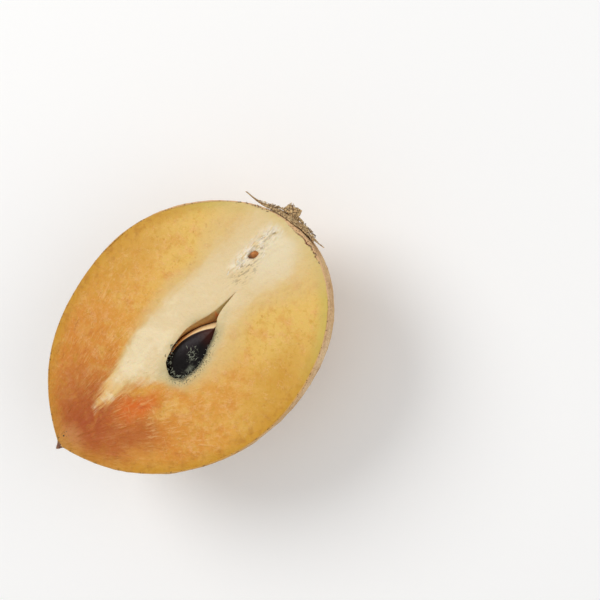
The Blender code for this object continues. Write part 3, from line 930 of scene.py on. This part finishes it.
class Graph:
    """Adds nodes to one node tree, and links or sets their inputs."""

    def __init__(self, tree):
        self.tree = tree

    def node(self, kind, inputs=None, **settings):
        """A new node with these settings, whose inputs are linked or set."""
        made = self.tree.nodes.new(kind)
        for name, value in settings.items():
            setattr(made, name, value)
        for name, value in (inputs or {}).items():
            self.feed(made.inputs[name], value)
        return made

    def feed(self, socket, value):
        """Links another node's output to a socket, or sets the socket's own value."""
        if isinstance(value, bpy.types.NodeSocket):
            self.tree.links.new(value, socket)
        elif socket.type == "RGBA":
            socket.default_value = (*tuple(value)[:3], 1.0)
        else:
            socket.default_value = value

    def math(self, operation, *values):
        """A Math node's result."""
        return self.node("ShaderNodeMath", dict(enumerate(values)), operation=operation).outputs[0]

    def vectors(self, operation, *values):
        """A Vector Math node's vector."""
        return self.node("ShaderNodeVectorMath", dict(enumerate(values)), operation=operation).outputs[0]

    def distance(self, vector):
        """A vector's length."""
        made = self.node("ShaderNodeVectorMath", {0: vector}, operation="LENGTH")
        return made.outputs["Value"]

    def parts(self, vector):
        """The outputs X, Y and Z of a vector."""
        return self.node("ShaderNodeSeparateXYZ", {0: vector}).outputs

    def add(self, first, second):
        """The sum of two values."""
        return self.math("ADD", first, second)

    def times(self, first, *others):
        """The product of masks and shares."""
        for other in others:
            first = self.math("MULTIPLY", first, other)
        return first

    def fade(self, value, start, end, low=0.0, high=1.0):
        """Runs smoothly from low at start to high at end."""
        inputs = {"Value": value, "From Min": start, "From Max": end, "To Min": low, "To Max": high}
        return self.node("ShaderNodeMapRange", inputs, interpolation_type="SMOOTHSTEP").outputs["Result"]

    def mix(self, share, first, second):
        """The first colour where the share is 0 and the second where it is 1."""
        return self.node("ShaderNodeMix", {0: share, 6: first, 7: second}, data_type="RGBA").outputs[2]

    def layers(self, base, *laid):
        """A base colour with others laid over it in turn, each after its mask."""
        for mask, over in laid:
            base = self.mix(mask, base, over)
        return base

    def noise(self, place, scale, detail=2.0, roughness=0.55, distortion=0.0, output="Fac"):
        """Noise on a place, as a value or as a colour."""
        inputs = {"Vector": place, "Scale": scale, "Detail": detail}
        inputs |= {"Roughness": roughness, "Distortion": distortion}
        return self.node("ShaderNodeTexNoise", inputs).outputs[output]

    def attribute(self, name):
        """A measure that the piece's mesh carries."""
        return self.node("ShaderNodeAttribute", attribute_name=name).outputs["Fac"]

    def effect(self, name, **inputs):
        """A shared node group, placed with these inputs."""
        made = self.node("ShaderNodeGroup", node_tree=shared_effect(name))
        for label, value in inputs.items():
            self.feed(made.inputs[label.capitalize()], value)
        return made.outputs[0]


def spot_mask(graph, given):
    """An ellipse turned about its centre: 1 inside, falling off to 0 at its edge."""
    moved = graph.vectors("SUBTRACT", given["Place"], given["Centre"])
    turned = graph.node(
        "ShaderNodeVectorRotate",
        {"Vector": moved, "Angle": graph.times(given["Turn"], -1.0)},
        rotation_type="Z_AXIS",
    )
    far = graph.distance(graph.vectors("DIVIDE", turned.outputs[0], given["Reach"]))
    return graph.fade(far, 1.0, graph.math("SUBTRACT", 1.0, given["Softness"]))


def mottle_mask(graph, given):
    """Uneven blotches of about one size."""
    noise = graph.noise(given["Place"], graph.math("DIVIDE", 1.0, given["Size"]), 4.0, 0.6, 0.3)
    return graph.fade(noise, given["Low"], given["High"])


def speck_mask(graph, given):
    """Ragged dots, at most one to a cell and in a share of the cells."""
    scale = graph.math("DIVIDE", 1.0, given["Size"])
    cells = graph.node("ShaderNodeTexVoronoi", {"Vector": given["Place"], "Scale": scale}).outputs
    chance = graph.node("ShaderNodeSeparateColor", {0: cells["Color"]}).outputs[0]
    reach = graph.times(graph.fade(chance, graph.math("SUBTRACT", 1.0, given["Amount"]), 1.0), 0.55)
    wobble = graph.times(graph.add(graph.noise(given["Place"], 3.1), -0.5), 0.35)
    edge = graph.math("SUBTRACT", graph.add(cells["Distance"], wobble), reach)
    return graph.fade(edge, 0.06, -0.06)


def streak_mask(graph, given):
    """Streaks that run out from a source: noise on the angle about it and the distance from it."""
    moved = graph.vectors("SUBTRACT", given["Place"], given["Source"])
    parts = graph.parts(moved)
    angle = graph.math("ARCTAN2", parts["Y"], parts["X"])
    away = graph.math("DIVIDE", graph.distance(moved), given["Stretch"])
    polar = graph.node("ShaderNodeCombineXYZ", {"X": graph.times(angle, given["Fineness"]), "Y": away})
    noise = graph.noise(polar.outputs[0], 1.0, 3.0, 0.6, 0.4)
    return graph.fade(noise, given["Low"], given["High"])


def curl_mask(graph, given):
    """Thin curled lines where a bent noise crosses its middle value, in patches."""
    scale = graph.math("DIVIDE", 1.0, given["Size"])
    noise = graph.noise(given["Place"], scale, 2.0, 0.5, 1.6)
    off_line = graph.math("ABSOLUTE", graph.add(noise, -0.5))
    patches = graph.noise(given["Place"], graph.times(scale, 0.9), 2.0)
    return graph.times(graph.fade(off_line, given["Width"], 0.0), graph.fade(patches, 0.45, 0.6))


# The effects that several materials share: what makes each, and its inputs with their defaults
ORIGIN = (0.0, 0.0, 0.0)
EFFECTS = {
    "Soft spot": (
        spot_mask,
        {"Place": ORIGIN, "Centre": ORIGIN, "Reach": (1.0, 1.0, 1.0), "Turn": 0.0, "Softness": 1.0},
    ),
    "Mottle": (mottle_mask, {"Place": ORIGIN, "Size": 2.0, "Low": 0.4, "High": 0.6}),
    "Specks": (speck_mask, {"Place": ORIGIN, "Size": 0.5, "Amount": 0.3}),
    "Streaks": (
        streak_mask,
        {"Place": ORIGIN, "Source": ORIGIN, "Fineness": 50.0, "Stretch": 4.0, "Low": 0.45, "High": 0.65},
    ),
    "Curls": (curl_mask, {"Place": ORIGIN, "Size": 1.0, "Width": 0.03}),
}


def shared_effect(name):
    """The node group of that name, with named inputs and a mask, built when it is first asked for."""
    if name in bpy.data.node_groups:
        return bpy.data.node_groups[name]
    make_mask, inputs = EFFECTS[name]
    tree = bpy.data.node_groups.new(name, "ShaderNodeTree")
    for label, default in inputs.items():
        kind = "NodeSocketVector" if isinstance(default, tuple) else "NodeSocketFloat"
        socket = tree.interface.new_socket(label, in_out="INPUT", socket_type=kind)
        socket.default_value = default
    tree.interface.new_socket("Mask", in_out="OUTPUT", socket_type="NodeSocketFloat")
    graph = Graph(tree)
    given, way_out = graph.node("NodeGroupInput").outputs, graph.node("NodeGroupOutput").inputs[0]
    graph.feed(way_out, make_mask(graph, given))
    return tree


class Finish(Graph):
    """A new material: its nodes, its Principled shader, and the place on the piece that its patterns read.

    The place is the object's own coordinates in millimetres from the middle of the cut face. Spots can be
    given another place, so that their outlines wander.
    """

    def __init__(self, name, **constants):
        self.material = bpy.data.materials.new(name)
        self.material.use_nodes = True
        super().__init__(self.material.node_tree)
        self.shader = self.tree.nodes["Principled BSDF"]
        for label, value in constants.items():
            label = label.replace("_", " ").title().replace("Ior", "IOR")
            self.shader.inputs[label].default_value = value
        inputs = {
            "Vector": self.node("ShaderNodeTexCoord").outputs["Object"],
            "Location": tuple(-FACE_MIDDLE / MM),
            "Scale": (1 / MM, 1 / MM, 1 / MM),
        }
        self.place = self.node("ShaderNodeMapping", inputs).outputs[0]
        self.spot_place = self.place

    def spot(self, centre, reach, turn=0.0, softness=1.0):
        """A soft spot with its turn in degrees, as deep as the piece."""
        return self.effect(
            "Soft spot",
            place=self.spot_place,
            centre=(*centre, 0.0),
            reach=(*reach, WITHOUT_LIMIT),
            turn=math.radians(turn),
            softness=softness,
        )

    def mottle(self, size, low, high):
        """Blotches of a size in millimetres, masked from low to high."""
        return self.effect("Mottle", place=self.place, size=size, low=low, high=high)

    def specks(self, size, amount):
        """Specks in cells of a size in millimetres, in a share of the cells."""
        return self.effect("Specks", place=self.place, size=size, amount=amount)

    def streaks(self, source, fineness, stretch, low, high):
        """Streaks away from a source, finer round it by the fineness and longer by the stretch."""
        return self.effect(
            "Streaks",
            place=self.place,
            source=(*source, 0.0),
            fineness=fineness,
            stretch=stretch,
            low=low,
            high=high,
        )

    def patches(self, base, looks, table):
        """Lays patches over a base colour, from a table of colour, centre, reach, turn and share."""
        for name, centre, reach, turn, share in table:
            base = self.mix(self.times(self.spot(centre, reach, turn), share), base, getattr(looks, name))
        return base

    def close(self, shade, roughness, height=None, strength=0.0, depth=0.0):
        """Feeds colour, roughness and relief to the shader, and returns the material."""
        self.feed(self.shader.inputs["Base Color"], shade)
        self.feed(self.shader.inputs["Roughness"], roughness)
        if height is not None:
            bump = self.node("ShaderNodeBump", {"Strength": strength, "Distance": depth, "Height": height})
            self.feed(self.shader.inputs["Normal"], bump.outputs[0])
        return self.material


def ripe_shade(graph, looks, x):
    """Yellow at the stem through gold and orange to red at the tip, with blotches and patches."""
    ripeness = graph.fade(x, 14.0, -4.0, 0.6, 1.0)
    shade = graph.mix(graph.fade(x, -14.0, 18.0), looks.gold, looks.yellow)
    shade = graph.mix(graph.fade(x, 2.0, -24.0), shade, looks.orange)
    shade = graph.patches(shade, looks, FIRST_PATCHES)
    for name, size, low, high, share, fades in FLESH_BLOTCHES:
        mask = graph.times(graph.mottle(size, low, high), ripeness if fades else 1.0, share)
        shade = graph.mix(mask, shade, getattr(looks, name))
    shade = graph.patches(shade, looks, SIDE_PATCHES)
    cloud = graph.fade(graph.noise(graph.place, 0.28, 4.0, 0.6, 1.2), 0.32, 0.55, 0.7, 1.0)
    shade = graph.mix(graph.times(graph.spot((-30.0, -0.5), (19.0, 19.0)), cloud), shade, looks.red)
    return graph.patches(shade, looks, TIP_PATCHES)


def rim_shade(graph, looks, x, from_rim, shade):
    """The flesh's shade with a greenish band just inside the skin, and brown blotches in it."""
    waver = graph.times(graph.add(graph.noise(graph.place, 0.5, 3.0), -0.5), 1.6)
    band = graph.fade(graph.add(from_rim, waver), 3.4, 0.3)
    blotches = graph.times(graph.mottle(1.8, 0.46, 0.68), graph.fade(from_rim, 5.0, 1.0))
    band_colour = graph.mix(graph.fade(x, 8.0, 26.0), looks.ochre, looks.green)
    return graph.layers(
        shade,
        (graph.times(band, graph.fade(x, -34.0, -22.0, 0.4, 0.85)), band_colour),
        (graph.times(blotches, graph.fade(x, 24.0, 4.0), 0.6), looks.umber),
    )


def core_shade(graph, looks, x, core):
    """The pale core: apricot at the tip, cream beside the seed and warmer at the stem, with white tissue."""
    tissue = graph.streaks((-20.0, 1.2), 60.0, 1.8, 0.38, 0.54)
    lines = graph.streaks((-20.0, 3.0), 100.0, 1.6, 0.51, 0.59)
    return graph.layers(
        looks.cream,
        (graph.times(graph.fade(core, 2.2, 0.2), graph.fade(x, -12.0, -2.0, 1.0, 0.25)), looks.cream_warm),
        (graph.fade(x, -14.0, -26.0, 0.0, 0.9), looks.apricot),
        (graph.times(graph.mottle(3.0, 0.5, 0.72), 0.35), looks.cream_warm),
        (graph.times(graph.mottle(6.0, 0.45, 0.6), graph.fade(x, 8.0, 0.0), 0.7), looks.bright),
        (graph.fade(x, 10.0, 22.0, 0.0, 0.3), looks.cream_warm),
        (graph.fade(x, 27.0, 34.0, 0.0, 0.4), looks.green),
        (graph.times(graph.attribute("tissue"), tissue, 0.85), looks.white),
        (graph.times(lines, graph.spot((22.0, 0.6), (11.0, 3.6), 0.0, 0.8), 0.8), looks.grey),
    )


def opening_shade(graph, looks, from_opening, shade):
    """The colour round the seed's opening: a grey-green halo, a light lip, and painted shade along the torn
    edge, a dark band with dark specks that stands for the shadows in its gaps.
    """
    beside_seed = graph.spot((-2.4, -7.0), (11.6, 6.0), 17.0, 0.5)
    halo = graph.times(graph.fade(from_opening, 3.4, 0.2), graph.spot((-2.0, -6.5), (14.5, 9.0), 12.0, 0.6))
    right_of_seed = graph.times(graph.spot((7.0, -6.0), (5.4, 3.0), 20.0), graph.fade(from_opening, 3.0, 0.4))
    lip = graph.times(graph.fade(from_opening, 0.35, 0.05), graph.spot((3.0, -0.6), (10.0, 1.8)))
    ragged = graph.add(from_opening, graph.times(graph.noise(graph.place, 2.2, 3.0, 0.7), -0.9))
    # Painted shade for the gaps in the torn edge beside the seed: a dark band and dark specks
    gap_shade_band = graph.times(graph.fade(ragged, 0.55, -0.35), beside_seed, 0.8)
    specks = graph.times(graph.specks(0.26, 0.95), graph.fade(ragged, 1.7, 0.0), beside_seed)
    return graph.layers(
        shade,
        (graph.times(halo, 0.75), looks.halo),
        (graph.times(right_of_seed, 0.8), looks.halo),
        (graph.times(graph.spot((-8.5, -4.6), (4.2, 5.2), 20.0), 0.6), looks.halo),
        (graph.times(lip, graph.mottle(0.9, 0.4, 0.6), 0.7), looks.streak),
        (graph.math("MAXIMUM", gap_shade_band, specks), looks.speck),
    )


def lining_shade(graph, looks, x, from_opening):
    """The wall of the seed's hollow: brown with darker blotches, olive in the slit, and painted shade that
    darkens its foot deep in the hollow.
    """
    return graph.layers(
        looks.lining,
        (graph.times(graph.mottle(1.2, 0.4, 0.7), 0.35), looks.stain_and_foot_shade),
        (graph.fade(x, 7.5, 9.5, 0.0, 0.8), looks.olive),
        (graph.times(graph.spot((8.6, -2.2), (1.3, 0.8)), 0.8), looks.flame),
        # Painted shade: the wall darkens deeper in the hollow
        (graph.fade(from_opening, -0.9, -2.2), looks.stain_and_foot_shade),
    )


def flesh_material(looks):
    """Flesh that ripens towards the tip, a pale core, a greenish rim and the brown hollow."""
    graph = Finish(
        "sapodilla_flesh",
        subsurface_weight=0.15,
        subsurface_radius=(1.0, 0.55, 0.25),
        subsurface_scale=0.0016,
        specular_ior_level=0.3,
    )
    wander = graph.noise(graph.place, 0.16, 3.0, 0.6, output="Color")
    wander = graph.vectors("ADD", wander, (-0.5, -0.5, -0.5))
    graph.spot_place = graph.vectors("ADD", graph.place, graph.vectors("MULTIPLY", wander, SPOT_DRIFT))
    x = graph.parts(graph.spot_place)["X"]
    core, from_rim, from_opening = (graph.attribute(name) for name in ("core", "from_rim", "from_opening"))

    streaks = graph.streaks((-42.0, 0.5), 44.0, 2.6, 0.54, 0.72)
    dark_streaks = graph.streaks((-40.0, 8.0), 30.0, 3.6, 0.54, 0.7)
    fibres = graph.times(
        graph.streaks((-44.0, 3.0), 60.0, 3.0, 0.5, 0.7),
        graph.fade(x, 14.0, -10.0),
        graph.fade(x, -33.0, -18.0),
        graph.mottle(5.0, 0.38, 0.6),
        0.5,
    )
    curls = graph.effect("Curls", place=graph.place, size=2.0, width=0.05)
    light = graph.math("MAXIMUM", graph.times(curls, graph.fade(x, -26.0, -16.0), 0.35), fibres)
    shade = graph.layers(
        ripe_shade(graph, looks, x),
        (graph.times(streaks, graph.fade(x, 0.0, -18.0), 0.3), looks.orange),
        (graph.times(dark_streaks, graph.fade(x, -6.0, -22.0), 0.35), looks.red),
        (light, looks.streak),
        (graph.times(graph.mottle(0.9, 0.58, 0.68), graph.mottle(5.5, 0.42, 0.6), 0.45), looks.umber),
    )
    shade = rim_shade(graph, looks, x, from_rim, shade)

    fringe = graph.add(graph.streaks((-60.0, 1.0), 60.0, 5.0, 0.3, 0.7), -0.5)
    fringe = graph.times(fringe, graph.fade(x, -14.0, -26.0, 0.5, 1.6))
    in_core = graph.fade(graph.add(core, fringe), -1.0, 1.0)
    in_core = graph.times(in_core, graph.fade(x, -27.0, -21.0, 0.65, 1.0))
    bloom = graph.times(graph.fade(core, -3.0, -0.8), graph.fade(x, -14.0, -2.0), 0.55)
    pale_stem = graph.spot((26.0, -1.8), (9.5, 6.6), 8.0, 0.8)
    pale_stem = graph.times(pale_stem, graph.fade(from_rim, 0.6, 3.4, 0.2, 0.75))
    shade = graph.layers(
        shade,
        (bloom, looks.cream_warm),
        (in_core, core_shade(graph, looks, x, core)),
        (pale_stem, looks.pale_green),
    )
    shade = opening_shade(graph, looks, from_opening, shade)

    torn_line = graph.add(from_rim, graph.times(graph.noise(graph.place, 1.3, 3.0, 0.7), -1.3))
    torn_line = graph.fade(torn_line, -0.25, -0.6)
    under_calyx = graph.times(torn_line, graph.spot((32.0, -5.5), (5.0, 5.5), 0.0, 0.5))
    tip_specks = graph.times(graph.specks(0.55, 0.9), graph.spot((-37.2, 0.4), (1.7, 1.5), 0.0, 0.3))
    shade = graph.layers(
        shade,
        (under_calyx, looks.rust),
        (tip_specks, looks.speck),
        (graph.fade(from_opening, -0.05, -0.3), lining_shade(graph, looks, x, from_opening)),
    )

    fine = graph.noise(graph.place, 2.6, 4.0, 0.65)
    height = graph.times(fine, 0.6)
    height = graph.add(height, graph.times(streaks, graph.fade(x, 4.0, -18.0, 0.0, 0.4)))
    height = graph.add(height, graph.times(light, graph.fade(in_core, 1.0, 0.0), 0.6))
    height = graph.add(height, graph.times(fringe, in_core, 0.15))
    return graph.close(shade, graph.fade(fine, 0.3, 0.7, 0.36, 0.58), height, strength=0.8, depth=0.00022)


def skin_material(looks):
    """Dry tan skin with paler worn patches, brown patches and fine dark scurf."""
    graph = Finish("sapodilla_skin", specular_ior_level=0.25)
    parts = graph.parts(graph.place)
    shade = looks.tan
    for name, size, low, high, share in SKIN_BLOTCHES:
        shade = graph.mix(graph.times(graph.mottle(size, low, high), share), shade, getattr(looks, name))
    grains = graph.specks(0.34, 0.5)
    fine = graph.noise(graph.place, 3.2, 5.0, 0.7)
    near_cut = graph.times(graph.fade(parts["Z"], -4.0, -0.6), graph.fade(fine, 0.6, 0.44), 0.45)
    cut_shade = graph.mix(graph.fade(parts["X"], 4.0, 24.0), looks.cut_ochre, looks.cut_pink)
    cut_shade = graph.mix(graph.times(grains, 0.75), cut_shade, looks.scurf)
    shade = graph.layers(
        shade,
        (graph.times(grains, 0.45), looks.scurf),
        (graph.fade(fine, 0.5, 0.66, 0.0, 0.5), looks.scurf),
        (near_cut, looks.cut_pink),
        (graph.fade(parts["Z"], -0.45, -0.15), cut_shade),
    )
    height = graph.add(fine, graph.times(grains, 0.5))
    return graph.close(shade, graph.fade(fine, 0.3, 0.7, 0.95, 0.7), height, strength=0.8, depth=0.0002)


def seed_material(looks, fibre_looks):
    """A glossy dark coat, with a painted purple sheen over its middle and a painted grey highlight low on its
    side, pale flecks towards its edge, and a pale scar.
    """
    graph = Finish("sapodilla_seed", specular_ior_level=0.09, coat_weight=0.03, coat_roughness=0.25)
    x = graph.parts(graph.place)["X"]
    low_side = graph.spot((-5.0, -8.6), (9.5, 4.6), 14.0, 0.9)
    cluster = graph.spot((-1.8, -5.3), (2.6, 1.6), 22.92, 0.8)
    # worn is a painted grey highlight low on the coat's side: a mottled spot in the pale fibre colour
    worn = graph.times(graph.spot((-4.4, -7.3), (2.6, 0.9), 5.73, 0.8), graph.mottle(0.9, 0.4, 0.62), 0.4)
    near_edge = graph.times(low_side, graph.fade(graph.attribute("edge"), 0.45, 0.9))
    flecks = graph.times(graph.specks(0.24, 0.75), graph.math("MAXIMUM", near_edge, cluster), 0.6)
    in_scar = graph.fade(graph.attribute("scar"), 0.35, 0.6)
    scar_shade = graph.layers(
        looks.scar,
        (graph.fade(x, 3.5, -3.0), looks.scar_warm),
        (graph.fade(graph.noise(graph.place, 1.6, 3.0), 0.5, 0.8), looks.scar_warm),
    )
    shade = graph.layers(
        looks.coat,
        # Painted purple sheen over the coat's middle
        (graph.spot((0.5, -3.2), (6.5, 2.4), 6.0, 0.9), looks.plum_sheen),
        (graph.fade(x, 0.5, 5.0), looks.maroon),
        (worn, fibre_looks.pale),
        (flecks, fibre_looks.pale),
        (in_scar, scar_shade),
    )
    fine = graph.noise(graph.place, 1.8, 3.0, 0.6)
    roughness = graph.add(graph.fade(fine, 0.35, 0.7, 0.26, 0.46), graph.times(in_scar, 0.2))
    return graph.close(shade, roughness, fine, strength=0.35, depth=0.0001)


def small_seed_material(looks):
    """Matt orange-brown, darker in its wrinkles and at its blunt side."""
    graph = Finish("undeveloped_seed", specular_ior_level=0.4)
    dark = tuple(value * WRINKLE_SHADE for value in looks.brown)
    wrinkles = graph.mottle(0.5, 0.4, 0.65)
    middle = SMALL_SEED_CENTRE[0]
    left = graph.fade(graph.parts(graph.place)["X"], middle + 0.3, middle - 0.8)
    shade = graph.mix(graph.math("MAXIMUM", graph.times(wrinkles, 0.5), left), looks.brown, dark)
    return graph.close(shade, graph.fade(wrinkles, 0.0, 1.0, 0.4, 0.6), wrinkles, strength=0.6, depth=0.0001)


def strand_material(name, pale, dark, clean_share=0.5):
    """Strands from pale to dark by each strand's own shade, with fine blotches."""
    graph = Finish(name, specular_ior_level=0.4)
    blotches = graph.mottle(0.35, 0.45, 0.7)
    shade = graph.mix(graph.fade(graph.attribute("shade"), clean_share, 1.0), pale, dark)
    shade = graph.mix(graph.times(blotches, 0.35), shade, dark)
    return graph.close(shade, graph.fade(blotches, 0.0, 1.0, 0.5, 0.75))


def dry_material(name, base, dark, light):
    """Dry plant tissue: a base with dark cracks and light frayed fibres."""
    graph = Finish(name, specular_ior_level=0.2)
    broad, fine = graph.mottle(1.1, 0.4, 0.65), graph.mottle(0.35, 0.45, 0.62)
    flecks = graph.specks(0.42, 0.75)
    shade = graph.layers(
        base,
        (graph.times(broad, 0.45), light),
        (graph.times(fine, 0.75), dark),
        (graph.times(flecks, 0.85), light),
    )
    height = graph.math("SUBTRACT", graph.times(flecks, 0.5), fine)
    return graph.close(shade, graph.fade(fine, 0.0, 1.0, 0.95, 0.75), height, strength=0.9, depth=0.0002)


def cut_level(piece):
    """Cuts a piece off level with the cut face, with a Boolean that is applied."""
    sides = (-KNIFE_REACH, KNIFE_REACH)
    corners = np.array(list(itertools.product(sides, sides, (0.0, KNIFE_HEIGHT))))
    faces = [(0, 1, 3, 2), (4, 6, 7, 5), (0, 4, 5, 1), (2, 3, 7, 6), (0, 2, 6, 4), (1, 5, 7, 3)]
    knife = object_from("knife", corners, faces)
    step = piece.modifiers.new("level", "BOOLEAN")
    step.operation, step.solver, step.object = "DIFFERENCE", "EXACT", knife
    bpy.context.view_layer.update()
    evaluated = piece.evaluated_get(bpy.context.evaluated_depsgraph_get())
    cut = bpy.data.meshes.new_from_object(evaluated)
    piece.modifiers.clear()
    piece.data = cut
    bpy.data.objects.remove(knife)


class SAPODILLA_OT_flesh(bpy.types.Operator):
    """Make the flesh with its cut face and the seed's hollow"""

    bl_idname = "sapodilla.flesh"
    bl_label = "Flesh"
    bl_options = {"REGISTER", "UNDO"}

    def execute(self, context):
        looks = context.scene.sapodilla
        piece = ring_object("flesh", *flesh_surface(looks.flesh, looks.skin))
        finish_piece(piece, flesh_material(looks.flesh), "flesh", "fruit_half")
        return {"FINISHED"}


class SAPODILLA_OT_skin(bpy.types.Operator):
    """Make the scurfy skin as a thin shell round the flesh"""

    bl_idname = "sapodilla.skin"
    bl_label = "Skin"
    bl_options = {"REGISTER", "UNDO"}

    def execute(self, context):
        looks = context.scene.sapodilla.skin
        finish_piece(ring_object("skin", skin_surface(looks)), skin_material(looks), "skin", "fruit_half")
        return {"FINISHED"}


class SAPODILLA_OT_seeds(bpy.types.Operator):
    """Make the dark seed with its scar, and the undeveloped seed"""

    bl_idname = "sapodilla.seeds"
    bl_label = "Seeds"
    bl_options = {"REGISTER", "UNDO"}

    def execute(self, context):
        looks = context.scene.sapodilla
        piece = ring_object("seed_coat", *seed_surface(looks.seed))
        finish_piece(piece, seed_material(looks.seed, looks.fibres), "seed_coat", "seed")
        piece = ring_object("small_brown_seed", small_seed_surface())
        finish_piece(piece, small_seed_material(looks.seed), "brown_seed", "undeveloped_seed")
        return {"FINISHED"}


class SAPODILLA_OT_fibres(bpy.types.Operator):
    """Make the strands of pulp round the seed, in the core and on the calyx"""

    bl_idname = "sapodilla.fibres"
    bl_label = "Fibres"
    bl_options = {"REGISTER", "UNDO"}

    def execute(self, context):
        looks = context.scene.sapodilla
        fibres, calyx = looks.fibres, looks.calyx
        pulp = strand_object("pulp_strands", *pulp_strands(fibres))
        finish_piece(pulp, strand_material("pulp_strand", fibres.pale, fibres.dark), "flesh")
        core = strand_object("core_strands", *core_strands(fibres))
        finish_piece(core, strand_material("core_strand", looks.flesh.white, fibres.olive, 0.85), "flesh")
        frayed = strand_object("frayed_strands", *calyx_strands(fibres))
        finish_piece(frayed, strand_material("frayed_strand", calyx.straw, calyx.dark, 0.3), "dry_calyx")
        return {"FINISHED"}


class SAPODILLA_OT_calyx(bpy.types.Operator):
    """Make the calyx with its sepals, cut level with the face, and the stalk's stub"""

    bl_idname = "sapodilla.calyx"
    bl_label = "Calyx and Stub"
    bl_options = {"REGISTER", "UNDO"}

    def execute(self, context):
        looks = context.scene.sapodilla.calyx
        colours = (looks.brown, looks.dark, looks.straw)
        piece = ring_object("calyx_sepals", calyx_surface(looks))
        cut_level(piece)
        finish_piece(piece, dry_material("dry_calyx", *colours), "dry_calyx", "calyx")
        piece = ring_object("broken_stub", stub_surface())
        finish_piece(piece, dry_material("dry_stub", *colours), "dry_stalk", "stalk_stub")
        return {"FINISHED"}


class SAPODILLA_OT_style(bpy.types.Operator):
    """Make the dried style at the tip"""

    bl_idname = "sapodilla.style"
    bl_label = "Style Tip"
    bl_options = {"REGISTER", "UNDO"}

    def execute(self, context):
        looks = context.scene.sapodilla.calyx
        piece = ring_object("dried_style", style_surface())
        cut_level(piece)
        material = dry_material("dry_style", looks.style, looks.dark, looks.brown)
        finish_piece(piece, material, "dry_style", "style_tip")
        return {"FINISHED"}


class SAPODILLA_OT_stage(bpy.types.Operator):
    """Make the floor, the lights, the world and the camera"""

    bl_idname = "sapodilla.stage"
    bl_label = "Stage"
    bl_options = {"REGISTER", "UNDO"}

    def execute(self, context):
        make_floor()
        make_lights()
        make_camera()
        return {"FINISHED"}


def make_floor():
    """A wide, level, nearly white floor."""
    side = FLOOR_REACH
    corners = [(-side, -side, 0), (side, -side, 0), (side, side, 0), (-side, side, 0)]
    mesh = bpy.data.meshes.new("floor")
    mesh.from_pydata(corners, [], [(0, 1, 2, 3)])
    floor = bpy.data.objects.new("floor", mesh)
    bpy.context.scene.collection.objects.link(floor)
    material = bpy.data.materials.new("pale_floor")
    material.use_nodes = True
    shader = material.node_tree.nodes["Principled BSDF"]
    shader.inputs["Base Color"].default_value = FLOOR_COLOUR
    shader.inputs["Roughness"].default_value = FLOOR_ROUGHNESS
    shader.inputs["Specular IOR Level"].default_value = FLOOR_SPECULAR
    mesh.materials.append(material)


def make_lights():
    """A broad soft light overhead on the image's upper left, a fill from the camera's side, a white world."""
    centre = Vector(FACE_MIDDLE)
    for name, place, size, power, tint in LIGHTS:
        data = bpy.data.lights.new(name, "AREA")
        data.shape, data.size, data.energy, data.color = "DISK", size, power, tint
        lamp = bpy.data.objects.new(name, data)
        lamp.location = Vector(place)
        lamp.rotation_euler = (centre - lamp.location).to_track_quat("-Z", "Y").to_euler()
        bpy.context.scene.collection.objects.link(lamp)
    world = bpy.data.worlds.new("soft_white")
    world.use_nodes = True
    background = world.node_tree.nodes["Background"]
    background.inputs["Color"].default_value = WORLD_COLOUR
    background.inputs["Strength"].default_value = WORLD_STRENGTH
    bpy.context.scene.world = world
    bpy.context.scene.view_settings.view_transform = "Standard"


def make_camera():
    """The camera at the photograph's angle, rolled so that its image's up lies along the cut face."""
    data = bpy.data.cameras.new("camera")
    data.lens, data.sensor_width, data.sensor_fit = CAMERA_LENS, SENSOR_WIDTH, "HORIZONTAL"
    data.clip_start, data.clip_end = CLIP_RANGE
    camera = bpy.data.objects.new("camera", data)
    place, aim = (Vector(FACE_MIDDLE + np.array(point) * MM) for point in (CAMERA_PLACE, CAMERA_AIM))
    back = (place - aim).normalized()
    right = Vector(CAMERA_UP).cross(back).normalized()
    turn = Matrix((right, back.cross(right), back)).transposed().to_4x4()
    camera.matrix_world = Matrix.Translation(place) @ turn
    bpy.context.scene.collection.objects.link(camera)
    bpy.context.scene.camera = camera


OPERATORS = (
    SAPODILLA_OT_flesh,
    SAPODILLA_OT_skin,
    SAPODILLA_OT_seeds,
    SAPODILLA_OT_fibres,
    SAPODILLA_OT_calyx,
    SAPODILLA_OT_style,
    SAPODILLA_OT_stage,
)


class SAPODILLA_PT_panel(bpy.types.Panel):
    """Lists the pieces and their looks"""

    bl_label = "Half Sapodilla"
    bl_idname = "SAPODILLA_PT_panel"
    bl_space_type = "VIEW_3D"
    bl_region_type = "UI"
    bl_category = "Sapodilla"

    def draw(self, context):
        looks = context.scene.sapodilla
        for operator in OPERATORS:
            self.layout.operator(operator.bl_idname)
        for part in ("flesh", "skin", "seed", "fibres", "calyx"):
            box = self.layout.box()
            box.label(text=part.capitalize())
            for name in getattr(looks, part).bl_rna.properties.keys():
                if name not in ("rna_type", "name"):
                    box.prop(getattr(looks, part), name)


CLASSES = (
    SapodillaFleshLooks,
    SapodillaSkinLooks,
    SapodillaSeedLooks,
    SapodillaFibreLooks,
    SapodillaCalyxLooks,
    SapodillaLooks,
    *OPERATORS,
    SAPODILLA_PT_panel,
)


def register():
    """Registers the classes and gives each scene its looks."""
    for each in CLASSES:
        bpy.utils.register_class(each)
    bpy.types.Scene.sapodilla = PointerProperty(type=SapodillaLooks)


def unregister():
    """Takes back what register did."""
    del bpy.types.Scene.sapodilla
    for each in reversed(CLASSES):
        bpy.utils.unregister_class(each)


def main():
    """Makes every piece and the stage."""
    register()
    bpy.ops.sapodilla.flesh()
    bpy.ops.sapodilla.skin()
    bpy.ops.sapodilla.seeds()
    bpy.ops.sapodilla.fibres()
    bpy.ops.sapodilla.calyx()
    bpy.ops.sapodilla.style()
    bpy.ops.sapodilla.stage()


if __name__ == "__main__":
    main()
